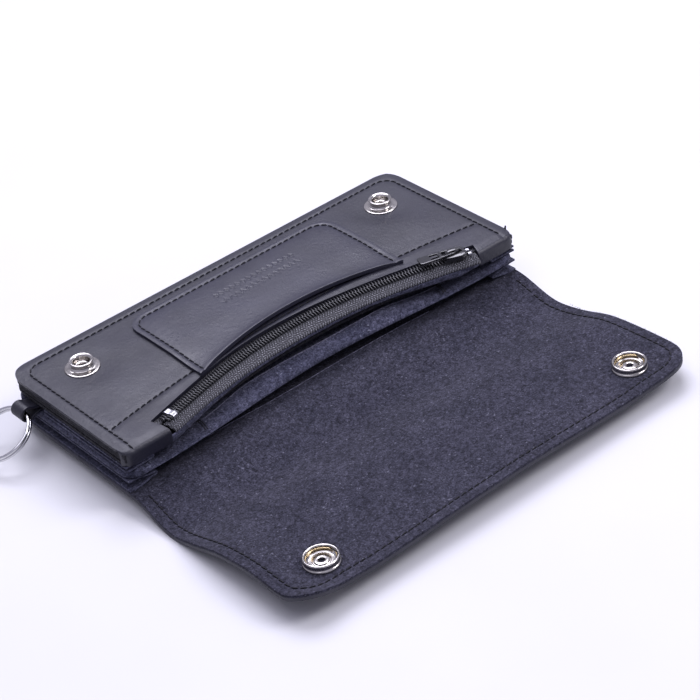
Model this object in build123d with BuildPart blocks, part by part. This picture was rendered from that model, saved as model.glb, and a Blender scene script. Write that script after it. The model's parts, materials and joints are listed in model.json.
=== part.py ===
from build123d import *
import os
from math import asin, cos, degrees, radians, sin

os.makedirs("parts", exist_ok=True)

# Long leather snap wallet lying on its back with the flap open.
# X runs along the long side, Y from the flap towards the rear edge, Z up.
# The origin is on the surface it lies on, in line with the front of the pockets.

# ---- driving dimensions, mm ------------------------------------------------
LENGTH = 185.0              # long side of every panel
REAR = 74.0                 # rear edge of the body
REAR_RADIUS = 8.0           # rear corners
FLAP_FRONT = 94.0           # free edge of the open flap, in front of the origin
FLAP_RADIUS = 12.0          # free corners of the flap

OUTER = 1.4                 # grain leather of the cover
LINING = 1.0                # suede lining of the cover
COVER = OUTER + LINING
DIVIDER = 1.2
DIVIDER_GAP = 0.5           # between the divider and the closed spine
DIVIDER_RADIUS = 6.0        # front corners of the divider
POCKET_BASE = 1.2
POCKET_TOP = 1.4
PATCH = 1.3                 # leather of the slip pocket on top
COMPARTMENT = 5.0           # clear height of each note compartment
POCKET_CLEAR = 3.8          # clear height of the zip pocket

CREASE = 2.4                # first crease, in front of the origin
CREASE_GAP = 0.3            # between the end faces at a crease
CLOSED_GAP = 4.0            # between the two leathers when the snaps are shut

GUSSET_DEPTH = 12.0         # how far a gusset folds in
GUSSET = 0.8                # gusset leather
TAB_START = 53.0            # the left upper gusset ends here to clear the ring tab

POCKET_FRONT = -0.6         # front edge of the zip pocket at both ends
ZIP_CENTRE_X = -3.2         # centre of the arcs that the zip follows
ZIP_CENTRE_Y = -221.6
R_FRONT = 231.0             # front face of the zip pocket
FOLD_LIMIT = 12.0           # the pocket's front fold lies in front of this
R_TEETH = 237.2             # middle of the zip
SLOT_REAR = 3.2             # slot edge behind the middle of the zip
SLOT_LEFT = -72.0           # slot ends, measured along the teeth
SLOT_RIGHT = 80.0
SLOT_FLOOR = 16.6           # top of the front wall along the slot
TAPE = 0.6
TAPE_TOP = 18.5
TAPE_LEFT = -76.0           # ends of the rear tape, measured along the teeth
TAPE_RIGHT = 84.0
TAPE_REAR = 11.0            # rear edge of the rear tape from the middle of the zip
TAPE_FRONT = 5.9            # front edge of the front tape from the middle of the zip
SLIT_HALF = 0.6             # half the slit between the two rows of teeth
TOOTH_REACH = 2.4           # outer side of a row of teeth from the middle
TEETH_TOP = 20.1
STOP_START = -66.0          # bottom stop, measured along the teeth
STOP_LENGTH = 2.6
STOP_RISE = 0.5             # bottom stop above the teeth
STOP_EDGE = 0.4             # rounding of its upper edges
TOP_STOP_START = 75.8
TOP_STOP_LENGTH = 1.6
TOP_STOP_REACH = 2.2
SLIDER_REST = 70.6          # slider at the closed end, measured along the teeth
SLIDER_LENGTH = 9.5
PULLER_LENGTH = 14.5

STUD_X = 72.1
STUD_Y = 54.3
CAP_HEIGHT = 2.3            # dome of a snap cap below the flap
POST_HOLE = 2.2             # radius of the hole for a snap post
POST = 2.1                  # radius of a snap post
POST_BORE = 1.2

PATCH_X = 2.0               # middle of the slip pocket
PATCH_HALF = 48.4
PATCH_REAR = 64.6
PATCH_FRONT_END = 15.9
PATCH_FRONT_MIDDLE = 23.5
PATCH_RADIUS = 9.0

THREAD = 0.5                # width of a seam
THREAD_HEIGHT = 0.2
SEAM_INSET = 4.6
TOP_SEAM_FRONT = 3.0        # where the side seams of the top panel begin
TOP_SEAM_RADIUS = 6.0
FLAP_SEAM_INSET = 4.2
PATCH_SEAM_INSET = 2.6
PATCH_SEAM_START = 2.0      # behind the front corners
ZIP_SEAM_X = 2.0            # centre of the flatter arc of the seam behind the zip
ZIP_SEAM_Y = -480.0
ZIP_SEAM_R = 502.6
ZIP_SEAM_OPEN = 13.0        # half of what shows between the zip and the slip pocket

TAB_Y = 60.0
TAB_WIDTH = 7.0
TAB_LEATHER = 1.0
EYE_X = -96.5
EYE_Z = 11.1                # level with the middle of the upper compartment
EYE_OUTER = 3.2
EYE_HOLE = 2.2
TAB_END = -82.2             # inner end of the tab, between divider and pocket
RING_RADIUS = 11.0
RING_WIRE = 0.65
RING_SPLIT = 3.0            # degrees between the two ends of the wire

# ---- worked out from them --------------------------------------------------
HALF = LENGTH / 2
DIVIDER_Z = COVER + COMPARTMENT
UPPER_Z = DIVIDER_Z + DIVIDER
BASE_Z = UPPER_Z + COMPARTMENT
INSIDE_Z = BASE_Z + POCKET_BASE
PANEL_Z = INSIDE_Z + POCKET_CLEAR
TOP = PANEL_Z + POCKET_TOP
SPINE = TOP + CLOSED_GAP - COVER
FLAP_CREASE = CREASE + SPINE
SOCKET_REACH = STUD_Y + CREASE
FLAP_TILT = asin(CAP_HEIGHT / SOCKET_REACH)
FLAP_LENGTH = FLAP_FRONT - FLAP_CREASE
TAPE_BOTTOM = TAPE_TOP - TAPE
DIVIDER_FRONT = DIVIDER_GAP - CREASE
PATCH_LEFT = PATCH_X - PATCH_HALF
PATCH_RIGHT = PATCH_X + PATCH_HALF

flap_plane = Plane(
    origin=(0, -FLAP_CREASE, COVER),
    x_dir=(1, 0, 0),
    z_dir=(0, sin(FLAP_TILT), cos(FLAP_TILT)),
)


def save(builder, label):
    """Label a finished piece and write it to its own file."""
    builder.part.label = label
    export_step(builder.part, "parts/" + label + ".step")


def panel(front, rear, front_radius, rear_radius, inset=0.0):
    """Plan outline of a leather panel, rounded at the front and at the rear."""
    with BuildSketch() as outline:
        with Locations((0, (front + rear) / 2)):
            Rectangle(LENGTH - 2 * inset, rear - front)
        if rear_radius > 0:
            fillet(outline.vertices().group_by(Axis.Y)[-1], rear_radius)
        if front_radius > 0:
            fillet(outline.vertices().group_by(Axis.Y)[0], front_radius)
    return outline.sketch


def along_zip(distance):
    """Angle round the zip's centre of a distance measured along the teeth."""
    return distance / R_TEETH


def zip_section(distance):
    """Upright plane across the zip: x is the radius, y is the height."""
    angle = along_zip(distance)
    return Plane(
        origin=(ZIP_CENTRE_X, ZIP_CENTRE_Y, 0),
        x_dir=(sin(angle), cos(angle), 0),
        z_dir=(cos(angle), -sin(angle), 0),
    )


zip_axis = Axis((ZIP_CENTRE_X, ZIP_CENTRE_Y, 0), (0, 0, 1))


def revolve_along_zip(points, start, end):
    """Solid with a constant section (radius from the teeth, height) along the zip."""
    with BuildPart() as strip:
        with BuildSketch(zip_section(end)):
            with BuildLine():
                Polyline([(R_TEETH + r, z) for r, z in points], close=True)
            make_face()
        revolve(axis=zip_axis, revolution_arc=degrees(along_zip(end - start)))
    return strip.part


def box_section(r_low, r_high, z_low, z_high):
    """Rectangular section for revolve_along_zip."""
    return [(r_low, z_low), (r_high, z_low), (r_high, z_high), (r_low, z_high)]


# ---- cover: back, spine and flap, each an outer leather and a lining --------
back_outline = panel(CREASE_GAP / 2 - CREASE, REAR, 0, REAR_RADIUS)

with BuildPart() as cover_back:
    with BuildSketch(Plane.XY):
        add(back_outline)
    extrude(amount=OUTER)
save(cover_back, "cover_back")

with BuildPart() as back_lining:
    with BuildSketch(Plane.XY.offset(OUTER)):
        add(back_outline)
    extrude(amount=LINING)
save(back_lining, "back_lining")

spine_outline = panel(CREASE_GAP / 2 - FLAP_CREASE, -CREASE_GAP / 2 - CREASE, 0, 0)

with BuildPart() as spine_cover:
    with BuildSketch(Plane.XY):
        add(spine_outline)
    extrude(amount=OUTER)
save(spine_cover, "spine_cover")

with BuildPart() as spine_lining:
    with BuildSketch(Plane.XY.offset(OUTER)):
        add(spine_outline)
    extrude(amount=LINING)
save(spine_lining, "spine_lining")

flap_outline = panel(-FLAP_LENGTH, -CREASE_GAP / 2, FLAP_RADIUS, 0)
socket_places = [(-STUD_X, -SOCKET_REACH), (STUD_X, -SOCKET_REACH)]

with BuildPart() as flap_cover:
    with BuildSketch(flap_plane.offset(-COVER)):
        add(flap_outline)
        with Locations(*socket_places):
            Circle(POST_HOLE, mode=Mode.SUBTRACT)
    extrude(amount=OUTER)
save(flap_cover, "flap_cover")

with BuildPart() as flap_lining:
    with BuildSketch(flap_plane.offset(-LINING)):
        add(flap_outline)
        with Locations(*socket_places):
            Circle(POST_HOLE, mode=Mode.SUBTRACT)
    extrude(amount=LINING)
save(flap_lining, "flap_lining")

# ---- seams of the cover -----------------------------------------------------
with BuildPart() as spine_thread:
    with BuildSketch(Plane.XY.offset(COVER)):
        with Locations((0, -(CREASE + FLAP_CREASE) / 2)):
            with GridLocations(LENGTH - 2 * FLAP_SEAM_INSET, 0, 2, 1):
                Rectangle(THREAD, SPINE - 2 * THREAD)
    extrude(amount=THREAD_HEIGHT)
save(spine_thread, "spine_thread")

with BuildPart() as flap_thread:
    with BuildSketch(flap_plane):
        add(
            panel(
                FLAP_SEAM_INSET - THREAD / 2 - FLAP_LENGTH,
                -THREAD,
                FLAP_RADIUS - FLAP_SEAM_INSET,
                0,
                FLAP_SEAM_INSET - THREAD / 2,
            )
        )
        add(
            panel(
                FLAP_SEAM_INSET + THREAD / 2 - FLAP_LENGTH,
                0,
                FLAP_RADIUS - FLAP_SEAM_INSET,
                0,
                FLAP_SEAM_INSET + THREAD / 2,
            ),
            mode=Mode.SUBTRACT,
        )
    extrude(amount=THREAD_HEIGHT)
save(flap_thread, "flap_thread")

# ---- divider and the V-folded gussets of the two compartments ----------------
with BuildPart() as divider:
    with BuildSketch(Plane.XY.offset(DIVIDER_Z)):
        add(panel(DIVIDER_FRONT, REAR, DIVIDER_RADIUS, REAR_RADIUS))
    extrude(amount=DIVIDER)
save(divider, "divider")

corner_cut = {
    "left": Plane(origin=(-HALF, REAR, 0), z_dir=(-1, -1, 0)),
    "right": Plane(origin=(HALF, REAR, 0), z_dir=(1, -1, 0)),
}


def fold_section(low):
    """Section of a gusset folded inwards, as (distance in from the edge, height)."""
    middle = low + COMPARTMENT / 2
    high = low + COMPARTMENT
    return [
        (0, low),
        (GUSSET_DEPTH, middle),
        (0, high),
        (0, high - GUSSET),
        (GUSSET_DEPTH - 2 * GUSSET, middle),
        (0, low + GUSSET),
    ]


def side_gusset(side, low, rear):
    """Gusset along a short side, mitred at the rear corner."""
    sign = -1 if side == "left" else 1
    with BuildPart() as strip:
        with BuildSketch(Plane(origin=(0, 0, 0), x_dir=(1, 0, 0), z_dir=(0, -1, 0))):
            with BuildLine():
                Polyline([(sign * (HALF - d), z) for d, z in fold_section(low)], close=True)
            make_face()
        extrude(amount=-rear)
        split(bisect_by=corner_cut[side], keep=Keep.TOP)
        with BuildSketch(Plane.XY.offset(low)):
            add(panel(0, REAR, 0, REAR_RADIUS))
        extrude(amount=COMPARTMENT, mode=Mode.INTERSECT)
    return strip


def rear_gusset(low):
    """Gusset along the rear side, mitred at both corners."""
    with BuildPart() as strip:
        with BuildSketch(Plane(origin=(-HALF, 0, 0), x_dir=(0, 1, 0), z_dir=(1, 0, 0))):
            with BuildLine():
                Polyline([(REAR - d, z) for d, z in fold_section(low)], close=True)
            make_face()
        extrude(amount=LENGTH)
        split(bisect_by=corner_cut["left"], keep=Keep.BOTTOM)
        split(bisect_by=corner_cut["right"], keep=Keep.BOTTOM)
        with BuildSketch(Plane.XY.offset(low)):
            add(panel(0, REAR, 0, REAR_RADIUS))
        extrude(amount=COMPARTMENT, mode=Mode.INTERSECT)
    return strip


save(side_gusset("left", COVER, REAR), "lower_gusset_left")
save(side_gusset("right", COVER, REAR), "lower_gusset_right")
save(rear_gusset(COVER), "lower_gusset_rear")
save(side_gusset("left", UPPER_Z, TAB_START), "upper_gusset_left")
save(side_gusset("right", UPPER_Z, REAR), "upper_gusset_right")
save(rear_gusset(UPPER_Z), "upper_gusset_rear")


# ---- zip pocket: tray-shaped base and a top panel folded over the front ------
def front_margin(depth):
    """Everything in front of the pocket's front face set back by a depth."""
    with BuildSketch() as margin:
        with Locations((ZIP_CENTRE_X, ZIP_CENTRE_Y)):
            Circle(R_FRONT + depth)
        with Locations((0, POCKET_FRONT + depth - REAR / 2)):
            Rectangle(2 * LENGTH, REAR)
    return margin.sketch


def pocket_outline(inset=0.0):
    """Plan of the zip pocket, its front edge an arc between two straight ends."""
    with BuildSketch() as outline:
        radius = REAR_RADIUS - inset
        add(panel(POCKET_FRONT, REAR - inset, 0, radius, inset))
        add(front_margin(0.0), mode=Mode.SUBTRACT)
    return outline.sketch


with BuildPart() as zip_pocket_base:
    with BuildSketch(Plane.XY.offset(BASE_Z)):
        add(pocket_outline())
        add(front_margin(POCKET_TOP), mode=Mode.SUBTRACT)
    extrude(amount=POCKET_BASE)
    with BuildSketch(Plane.XY.offset(INSIDE_Z)):
        add(pocket_outline())
        add(pocket_outline(POCKET_BASE), mode=Mode.SUBTRACT)
        add(front_margin(POCKET_TOP), mode=Mode.SUBTRACT)
    extrude(amount=POCKET_CLEAR)
save(zip_pocket_base, "zip_pocket_base")

slot_cut = revolve_along_zip(
    box_section(R_FRONT - R_TEETH - 1.0, SLOT_REAR, SLOT_FLOOR, TOP + 1.0), SLOT_LEFT, SLOT_RIGHT
)

with BuildPart() as zip_pocket_top:
    with BuildSketch(Plane.XY.offset(PANEL_Z)):
        add(pocket_outline())
        with GridLocations(2 * STUD_X, 0, 2, 1):
            with Locations((0, STUD_Y)):
                Circle(POST_HOLE, mode=Mode.SUBTRACT)
    extrude(amount=POCKET_TOP)
    with BuildSketch(Plane.XY.offset(BASE_Z)):
        add(pocket_outline())
        add(front_margin(POCKET_TOP), mode=Mode.INTERSECT)
    extrude(amount=TOP - BASE_Z)
    fold = zip_pocket_top.edges().filter_by_position(Axis.Z, TOP - 0.01, TOP + 0.01)
    fillet(fold.filter_by_position(Axis.Y, POCKET_FRONT - 1, FOLD_LIMIT), POCKET_TOP - 0.2)
    add(slot_cut, mode=Mode.SUBTRACT)
save(zip_pocket_top, "zip_pocket_top")

# ---- slip pocket on the top panel, free along its front edge ------------------
with BuildPart() as slip_pocket:
    with BuildSketch(Plane.XY.offset(TOP)) as patch_plan:
        with BuildLine():
            ThreePointArc(
                (PATCH_LEFT, PATCH_FRONT_END),
                (PATCH_X, PATCH_FRONT_MIDDLE),
                (PATCH_RIGHT, PATCH_FRONT_END),
            )
            Line((PATCH_RIGHT, PATCH_FRONT_END), (PATCH_RIGHT, PATCH_REAR))
            Line((PATCH_RIGHT, PATCH_REAR), (PATCH_LEFT, PATCH_REAR))
            Line((PATCH_LEFT, PATCH_REAR), (PATCH_LEFT, PATCH_FRONT_END))
        make_face()
        fillet(patch_plan.vertices().group_by(Axis.Y)[-1], PATCH_RADIUS)
    extrude(amount=PATCH)
save(slip_pocket, "slip_pocket")


# ---- seams of the top panel ----------------------------------------------------
def open_seam(middle, half_width, front, rear, radius):
    """Three-sided seam, open at the front, as a flat sketch."""
    with BuildSketch() as seam:
        for grow, mode in ((THREAD / 2, Mode.ADD), (-THREAD / 2, Mode.SUBTRACT)):
            with BuildSketch(mode=Mode.PRIVATE) as shape:
                low = front if mode == Mode.ADD else front - THREAD
                with Locations((middle, (low + rear + grow) / 2)):
                    Rectangle(2 * (half_width + grow), rear + grow - low)
                fillet(shape.vertices().group_by(Axis.Y)[-1], radius + grow)
            add(shape.sketch, mode=mode)
    return seam.sketch


with BuildPart() as top_thread:
    with BuildSketch(Plane.XY.offset(TOP)):
        add(open_seam(0, HALF - SEAM_INSET, TOP_SEAM_FRONT, REAR - SEAM_INSET, TOP_SEAM_RADIUS))
    extrude(amount=THREAD_HEIGHT)
save(top_thread, "top_thread")

with BuildPart() as slip_pocket_thread:
    with BuildSketch(Plane.XY.offset(TOP + PATCH)):
        add(
            open_seam(
                PATCH_X,
                PATCH_HALF - PATCH_SEAM_INSET,
                PATCH_FRONT_END + PATCH_SEAM_START,
                PATCH_REAR - PATCH_SEAM_INSET,
                PATCH_RADIUS - PATCH_SEAM_INSET,
            )
        )
    extrude(amount=THREAD_HEIGHT)
save(slip_pocket_thread, "slip_pocket_thread")


def zip_seam(left, right):
    """Stretch of the seam behind the zip, between two places along the wallet."""
    with BuildPart() as seam:
        with BuildSketch(Plane.XY.offset(TOP)):
            with Locations((ZIP_SEAM_X, ZIP_SEAM_Y)):
                Circle(ZIP_SEAM_R + THREAD / 2)
                Circle(ZIP_SEAM_R - THREAD / 2, mode=Mode.SUBTRACT)
            with Locations(((left + right) / 2, 0)):
                Rectangle(right - left, REAR, mode=Mode.INTERSECT)
        extrude(amount=THREAD_HEIGHT)
    return seam


zip_seam_end = HALF - SEAM_INSET - 2 * THREAD
save(zip_seam(-zip_seam_end, PATCH_LEFT - THREAD), "zip_thread_left")
save(zip_seam(PATCH_X - ZIP_SEAM_OPEN, PATCH_X + ZIP_SEAM_OPEN), "zip_thread_middle")
save(zip_seam(PATCH_RIGHT + THREAD, zip_seam_end), "zip_thread_right")

# ---- zip: two tapes, two rows of teeth, stops ------------------------------------
with BuildPart() as zip_tape_rear:
    section = box_section(SLIT_HALF, TAPE_REAR, TAPE_BOTTOM, TAPE_TOP)
    add(revolve_along_zip(section, TAPE_LEFT, TAPE_RIGHT))
save(zip_tape_rear, "zip_tape_rear")

tape_edge = SLOT_FLOOR + 0.05
front_tape_section = [
    (-SLIT_HALF, TAPE_TOP),
    (-TOOTH_REACH, TAPE_TOP),
    (-TAPE_FRONT, tape_edge + TAPE),
    (-TAPE_FRONT, tape_edge),
    (-TOOTH_REACH, TAPE_BOTTOM),
    (-SLIT_HALF, TAPE_BOTTOM),
]
with BuildPart() as zip_tape_front:
    add(revolve_along_zip(front_tape_section, SLOT_LEFT, SLOT_RIGHT))
    front_face = Plane(origin=(0, POCKET_FRONT, 0), z_dir=(0, 1, 0))
    split(bisect_by=front_face, keep=Keep.TOP)
save(zip_tape_front, "zip_tape_front")

teeth_start = STOP_START + STOP_LENGTH + 0.1
teeth_end = TOP_STOP_START - 0.1
with BuildPart() as zip_teeth_rear:
    section = box_section(SLIT_HALF, TOOTH_REACH, TAPE_TOP, TEETH_TOP)
    add(revolve_along_zip(section, teeth_start, teeth_end))
save(zip_teeth_rear, "zip_teeth_rear")

with BuildPart() as zip_teeth_front:
    section = box_section(-TOOTH_REACH, -SLIT_HALF, TAPE_TOP, TEETH_TOP)
    add(revolve_along_zip(section, teeth_start, teeth_end))
save(zip_teeth_front, "zip_teeth_front")

with BuildPart() as zip_bottom_stop:
    section = box_section(-TOOTH_REACH, TOOTH_REACH, TAPE_TOP, TEETH_TOP + STOP_RISE)
    add(revolve_along_zip(section, STOP_START, STOP_START + STOP_LENGTH))
    fillet(zip_bottom_stop.edges().group_by(Axis.Z)[-1], STOP_EDGE)
save(zip_bottom_stop, "zip_bottom_stop")

with BuildPart() as zip_top_stops:
    for low, high in ((SLIT_HALF, TOP_STOP_REACH), (-TOP_STOP_REACH, -SLIT_HALF)):
        section = box_section(low, high, TAPE_TOP, TEETH_TOP)
        add(revolve_along_zip(section, TOP_STOP_START, TOP_STOP_START + TOP_STOP_LENGTH))
save(zip_top_stops, "zip_top_stops")

# ---- slider and puller: local x along the zip, local y across it, z up -----------
slider_angle = along_zip(SLIDER_REST)
slider_x = ZIP_CENTRE_X + R_TEETH * sin(slider_angle)
slider_y = ZIP_CENTRE_Y + R_TEETH * cos(slider_angle)


def slider_plane(height):
    """Level plane at the slider, turned to follow the zip."""
    return Plane(
        origin=(slider_x, slider_y, height),
        x_dir=(cos(slider_angle), -sin(slider_angle), 0),
        z_dir=(0, 0, 1),
    )


SLIDER_TOP = TEETH_TOP + 0.3
SLIDER_PLATE = 0.8
SLIDER_HALF = 3.6
SLIDER_NOSE = 2.6
SLIDER_FLANGE = 2.8
SLIDER_LOW_HALF = 2.3
SLIDER_LOW_LENGTH = 8.0     # lower plate
SLIDER_LOW_PLATE = 0.75
SLIDER_LOW_Z = 1.1          # lower plate below the tape
SLIDER_CORNER = 0.8
SLIDER_EDGE = 0.3
FLANGE_WALL = 0.4
FLANGE_LENGTH = 3.15
SLIDER_POST = 0.5
POST_LENGTH = 5.0
CROWN_BASE = SLIDER_TOP + SLIDER_PLATE
CROWN_CLEAR = 1.2
CROWN_BAR = 0.6
CROWN_HALF = 2.9
CROWN_WIDTH = 1.4
CROWN_FOOT = 0.8

with BuildPart() as zip_slider:
    with BuildSketch(slider_plane(SLIDER_TOP)) as slider_plan:
        with BuildLine():
            Polyline(
                (-SLIDER_LENGTH / 2, -SLIDER_NOSE),
                (0, -SLIDER_HALF),
                (SLIDER_LENGTH / 2, -SLIDER_HALF),
                (SLIDER_LENGTH / 2, SLIDER_HALF),
                (0, SLIDER_HALF),
                (-SLIDER_LENGTH / 2, SLIDER_NOSE),
                close=True,
            )
        make_face()
        fillet(slider_plan.vertices(), SLIDER_CORNER)
    extrude(amount=SLIDER_PLATE)
    fillet(zip_slider.edges().group_by(Axis.Z)[-1], SLIDER_EDGE)
    with BuildSketch(slider_plane(TAPE_TOP + FLANGE_WALL)):
        with Locations((SLIDER_LENGTH / 4, 0)):
            with GridLocations(0, 2 * SLIDER_FLANGE, 1, 2):
                Rectangle(FLANGE_LENGTH, FLANGE_WALL)
    extrude(amount=SLIDER_TOP - TAPE_TOP - 0.2)
    with BuildSketch(slider_plane(TAPE_BOTTOM - SLIDER_LOW_Z)):
        Rectangle(POST_LENGTH, SLIDER_POST)
    extrude(amount=SLIDER_TOP - TAPE_BOTTOM + 1.3)
    with BuildSketch(slider_plane(TAPE_BOTTOM - SLIDER_LOW_Z)):
        Rectangle(SLIDER_LOW_LENGTH, 2 * SLIDER_LOW_HALF)
    extrude(amount=SLIDER_LOW_PLATE)
    with BuildSketch(slider_plane(CROWN_BASE)):
        with GridLocations(2 * CROWN_HALF - CROWN_FOOT, 0, 2, 1):
            Rectangle(CROWN_FOOT, CROWN_WIDTH)
    extrude(amount=CROWN_CLEAR + CROWN_BAR)
    with BuildSketch(slider_plane(CROWN_BASE + CROWN_CLEAR)):
        Rectangle(2 * CROWN_HALF, CROWN_WIDTH)
    extrude(amount=CROWN_BAR)
save(zip_slider, "zip_slider")

PULLER_AXIS = CROWN_BASE + CROWN_CLEAR / 2
PULLER_BAR = 0.4
PULLER_THICKNESS = 0.9
PULLER_WIDTH = 5.0
PULLER_TIP = 0.3
PULLER_CORNER = 1.6
EYE_LENGTH = 4.6            # opening round the pin
EYE_WIDTH = 2.6
WINDOW_LENGTH = 1.6         # small opening near the free end
WINDOW_WIDTH = 2.4
WINDOW_CORNER = 0.6

with BuildPart() as zip_puller:
    with BuildSketch(slider_plane(PULLER_AXIS - PULLER_THICKNESS / 2)) as puller_plan:
        with Locations(((PULLER_TIP - PULLER_LENGTH) / 2, 0)):
            RectangleRounded(PULLER_LENGTH + PULLER_TIP, PULLER_WIDTH, PULLER_CORNER)
        with Locations((PULLER_TIP - EYE_LENGTH / 2, 0)):
            Rectangle(EYE_LENGTH, EYE_WIDTH, mode=Mode.SUBTRACT)
        with Locations((1.5 * WINDOW_LENGTH - PULLER_LENGTH, 0)):
            RectangleRounded(WINDOW_LENGTH, WINDOW_WIDTH, WINDOW_CORNER, mode=Mode.SUBTRACT)
    extrude(amount=PULLER_THICKNESS)
    with BuildSketch(Plane(
        origin=(slider_x, slider_y, PULLER_AXIS),
        x_dir=(cos(slider_angle), -sin(slider_angle), 0),
        z_dir=(-sin(slider_angle), -cos(slider_angle), 0),
    )):
        Circle(PULLER_BAR)
    extrude(amount=(EYE_WIDTH + PULLER_WIDTH) / 4, both=True)
save(zip_puller, "zip_puller")


# ---- snaps: studs on the top panel, sockets on the flap ---------------------------
def turned(plane, draw):
    """Solid of revolution about a plane's normal from a drawn (radius, height) outline."""
    with BuildPart() as upright:
        with BuildSketch(Plane.XZ):
            with BuildLine():
                draw()
            make_face()
        revolve(axis=Axis.Z)
    with BuildPart() as piece:
        add(upright.part.moved(plane.location))
    return piece


def stud_outline():
    """Wide thin flange, narrow neck and a rolled head with an open middle."""
    Polyline((4.0, 3.3), (3.3, 3.3), (2.9, 2.9), (2.9, 1.0), (POST_HOLE, 1.0), (POST_HOLE, 0.0), (6.5, 0.0))
    ThreePointArc((6.5, 0.0), (6.7, 0.25), (6.4, 0.45))
    Polyline((6.4, 0.45), (4.3, 0.7), (3.8, 1.1), (3.8, 1.5), (4.45, 1.9))
    ThreePointArc((4.45, 1.9), (4.6, 2.7), (4.0, 3.3))


def stud_post_outline():
    """Eyelet from inside the zip pocket: flange below the leather, rolled end in the stud."""
    Polyline(
        (POST_BORE, -POCKET_TOP - 0.5),
        (5.0, -POCKET_TOP - 0.5),
        (5.0, -POCKET_TOP - 0.05),
        (POST, -POCKET_TOP - 0.05),
        (POST, 1.05),
        (2.7, 1.05),
        (2.7, 1.3),
        (2.4, 1.5),
        (POST_BORE, 1.5),
        close=True,
    )


def socket_outline():
    """Bowl with a rolled rim, a channel for the spring and a hole in its floor."""
    Polyline((5.6, 2.75), (5.55, 2.4), (5.75, 2.1), (5.75, 1.3), (5.2, 0.7), (4.8, 0.4), (POST_HOLE, 0.4))
    Polyline((POST_HOLE, 0.4), (POST_HOLE, 0.05), (4.9, 0.05), (5.6, 0.5), (6.15, 1.3), (6.2, 2.0), (6.6, 2.2))
    ThreePointArc((6.6, 2.2), (6.5, 2.9), (5.6, 2.75))


def cap_outline():
    """Domed cap under the flap with a hollow post rolled over inside the socket."""
    Polyline(
        (1.0, -COVER - CAP_HEIGHT),
        (0, -COVER - CAP_HEIGHT),
        (0, -COVER - 0.4),
        (POST_BORE, -COVER - 0.4),
        (POST_BORE, 0.9),
        (2.4, 0.9),
        (2.6, 0.7),
        (2.4, 0.45),
        (POST, 0.45),
        (POST, -COVER - 0.05),
        (7.3, -COVER - 0.05),
        (7.5, -COVER - 0.4),
    )
    ThreePointArc((7.5, -COVER - 0.4), (5.0, -COVER - 1.7), (1.0, -COVER - CAP_HEIGHT))


SPRING_RADIUS = 5.3
SPRING_WIRE = 0.33
SPRING_HEIGHT = 1.7

for side, x in (("left", -STUD_X), ("right", STUD_X)):
    stud_plane = Plane(origin=(x, STUD_Y, TOP), x_dir=(1, 0, 0), z_dir=(0, 0, 1))
    save(turned(stud_plane, stud_outline), "snap_stud_" + side)
    save(turned(stud_plane, stud_post_outline), "stud_post_" + side)
    socket_plane = Plane(
        origin=flap_plane.from_local_coords(Vector(x, -SOCKET_REACH, 0)),
        x_dir=flap_plane.x_dir,
        z_dir=flap_plane.z_dir,
    )
    save(turned(socket_plane, socket_outline), "snap_socket_" + side)
    save(turned(socket_plane, cap_outline), "snap_cap_" + side)
    with BuildPart() as spring:
        with BuildSketch(Plane(
            origin=socket_plane.origin, x_dir=socket_plane.x_dir, z_dir=-socket_plane.y_dir
        )):
            with Locations((SPRING_RADIUS, SPRING_HEIGHT)):
                Circle(SPRING_WIRE)
        revolve(axis=Axis(socket_plane.origin, socket_plane.z_dir), revolution_arc=330)
    save(spring, "snap_spring_" + side)

# ---- ring for the chain and the leather tab that holds it --------------------------
with BuildPart() as ring_tab:
    with BuildSketch(Plane(origin=(0, TAB_Y, 0), x_dir=(1, 0, 0), z_dir=(0, -1, 0))):
        with Locations(((EYE_X + TAB_END) / 2, EYE_Z)):
            Rectangle(TAB_END - EYE_X, 2 * TAB_LEATHER)
        with Locations((EYE_X, EYE_Z)):
            Circle(EYE_OUTER)
            Circle(EYE_HOLE, mode=Mode.SUBTRACT)
    extrude(amount=TAB_WIDTH / 2, both=True)
save(ring_tab, "ring_tab")

RING_DROOP = asin((EYE_Z - 2 * RING_WIRE - 0.05) / (2 * RING_RADIUS))
ring_centre = (
    EYE_X - RING_RADIUS * cos(RING_DROOP),
    TAB_Y,
    EYE_Z - RING_RADIUS * sin(RING_DROOP),
)
ring_plane = Plane(
    origin=ring_centre,
    x_dir=(cos(RING_DROOP), 0, sin(RING_DROOP)),
    z_dir=(-sin(RING_DROOP), 0, cos(RING_DROOP)),
)
with BuildPart() as split_ring:
    with BuildSketch(Plane(origin=ring_centre, x_dir=-ring_plane.x_dir, z_dir=ring_plane.y_dir)):
        with Locations((RING_RADIUS, 0)):
            with GridLocations(0, 2 * RING_WIRE - 0.1, 1, 2):
                Circle(RING_WIRE)
    revolve(axis=Axis(ring_centre, ring_plane.z_dir), revolution_arc=360 - RING_SPLIT)
save(split_ring, "split_ring")
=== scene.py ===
import json
from math import atan2, cos, hypot, pi, radians, sin, sqrt

import bmesh
import bpy
import numpy as np
from mathutils import Matrix, Vector, noise


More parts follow.
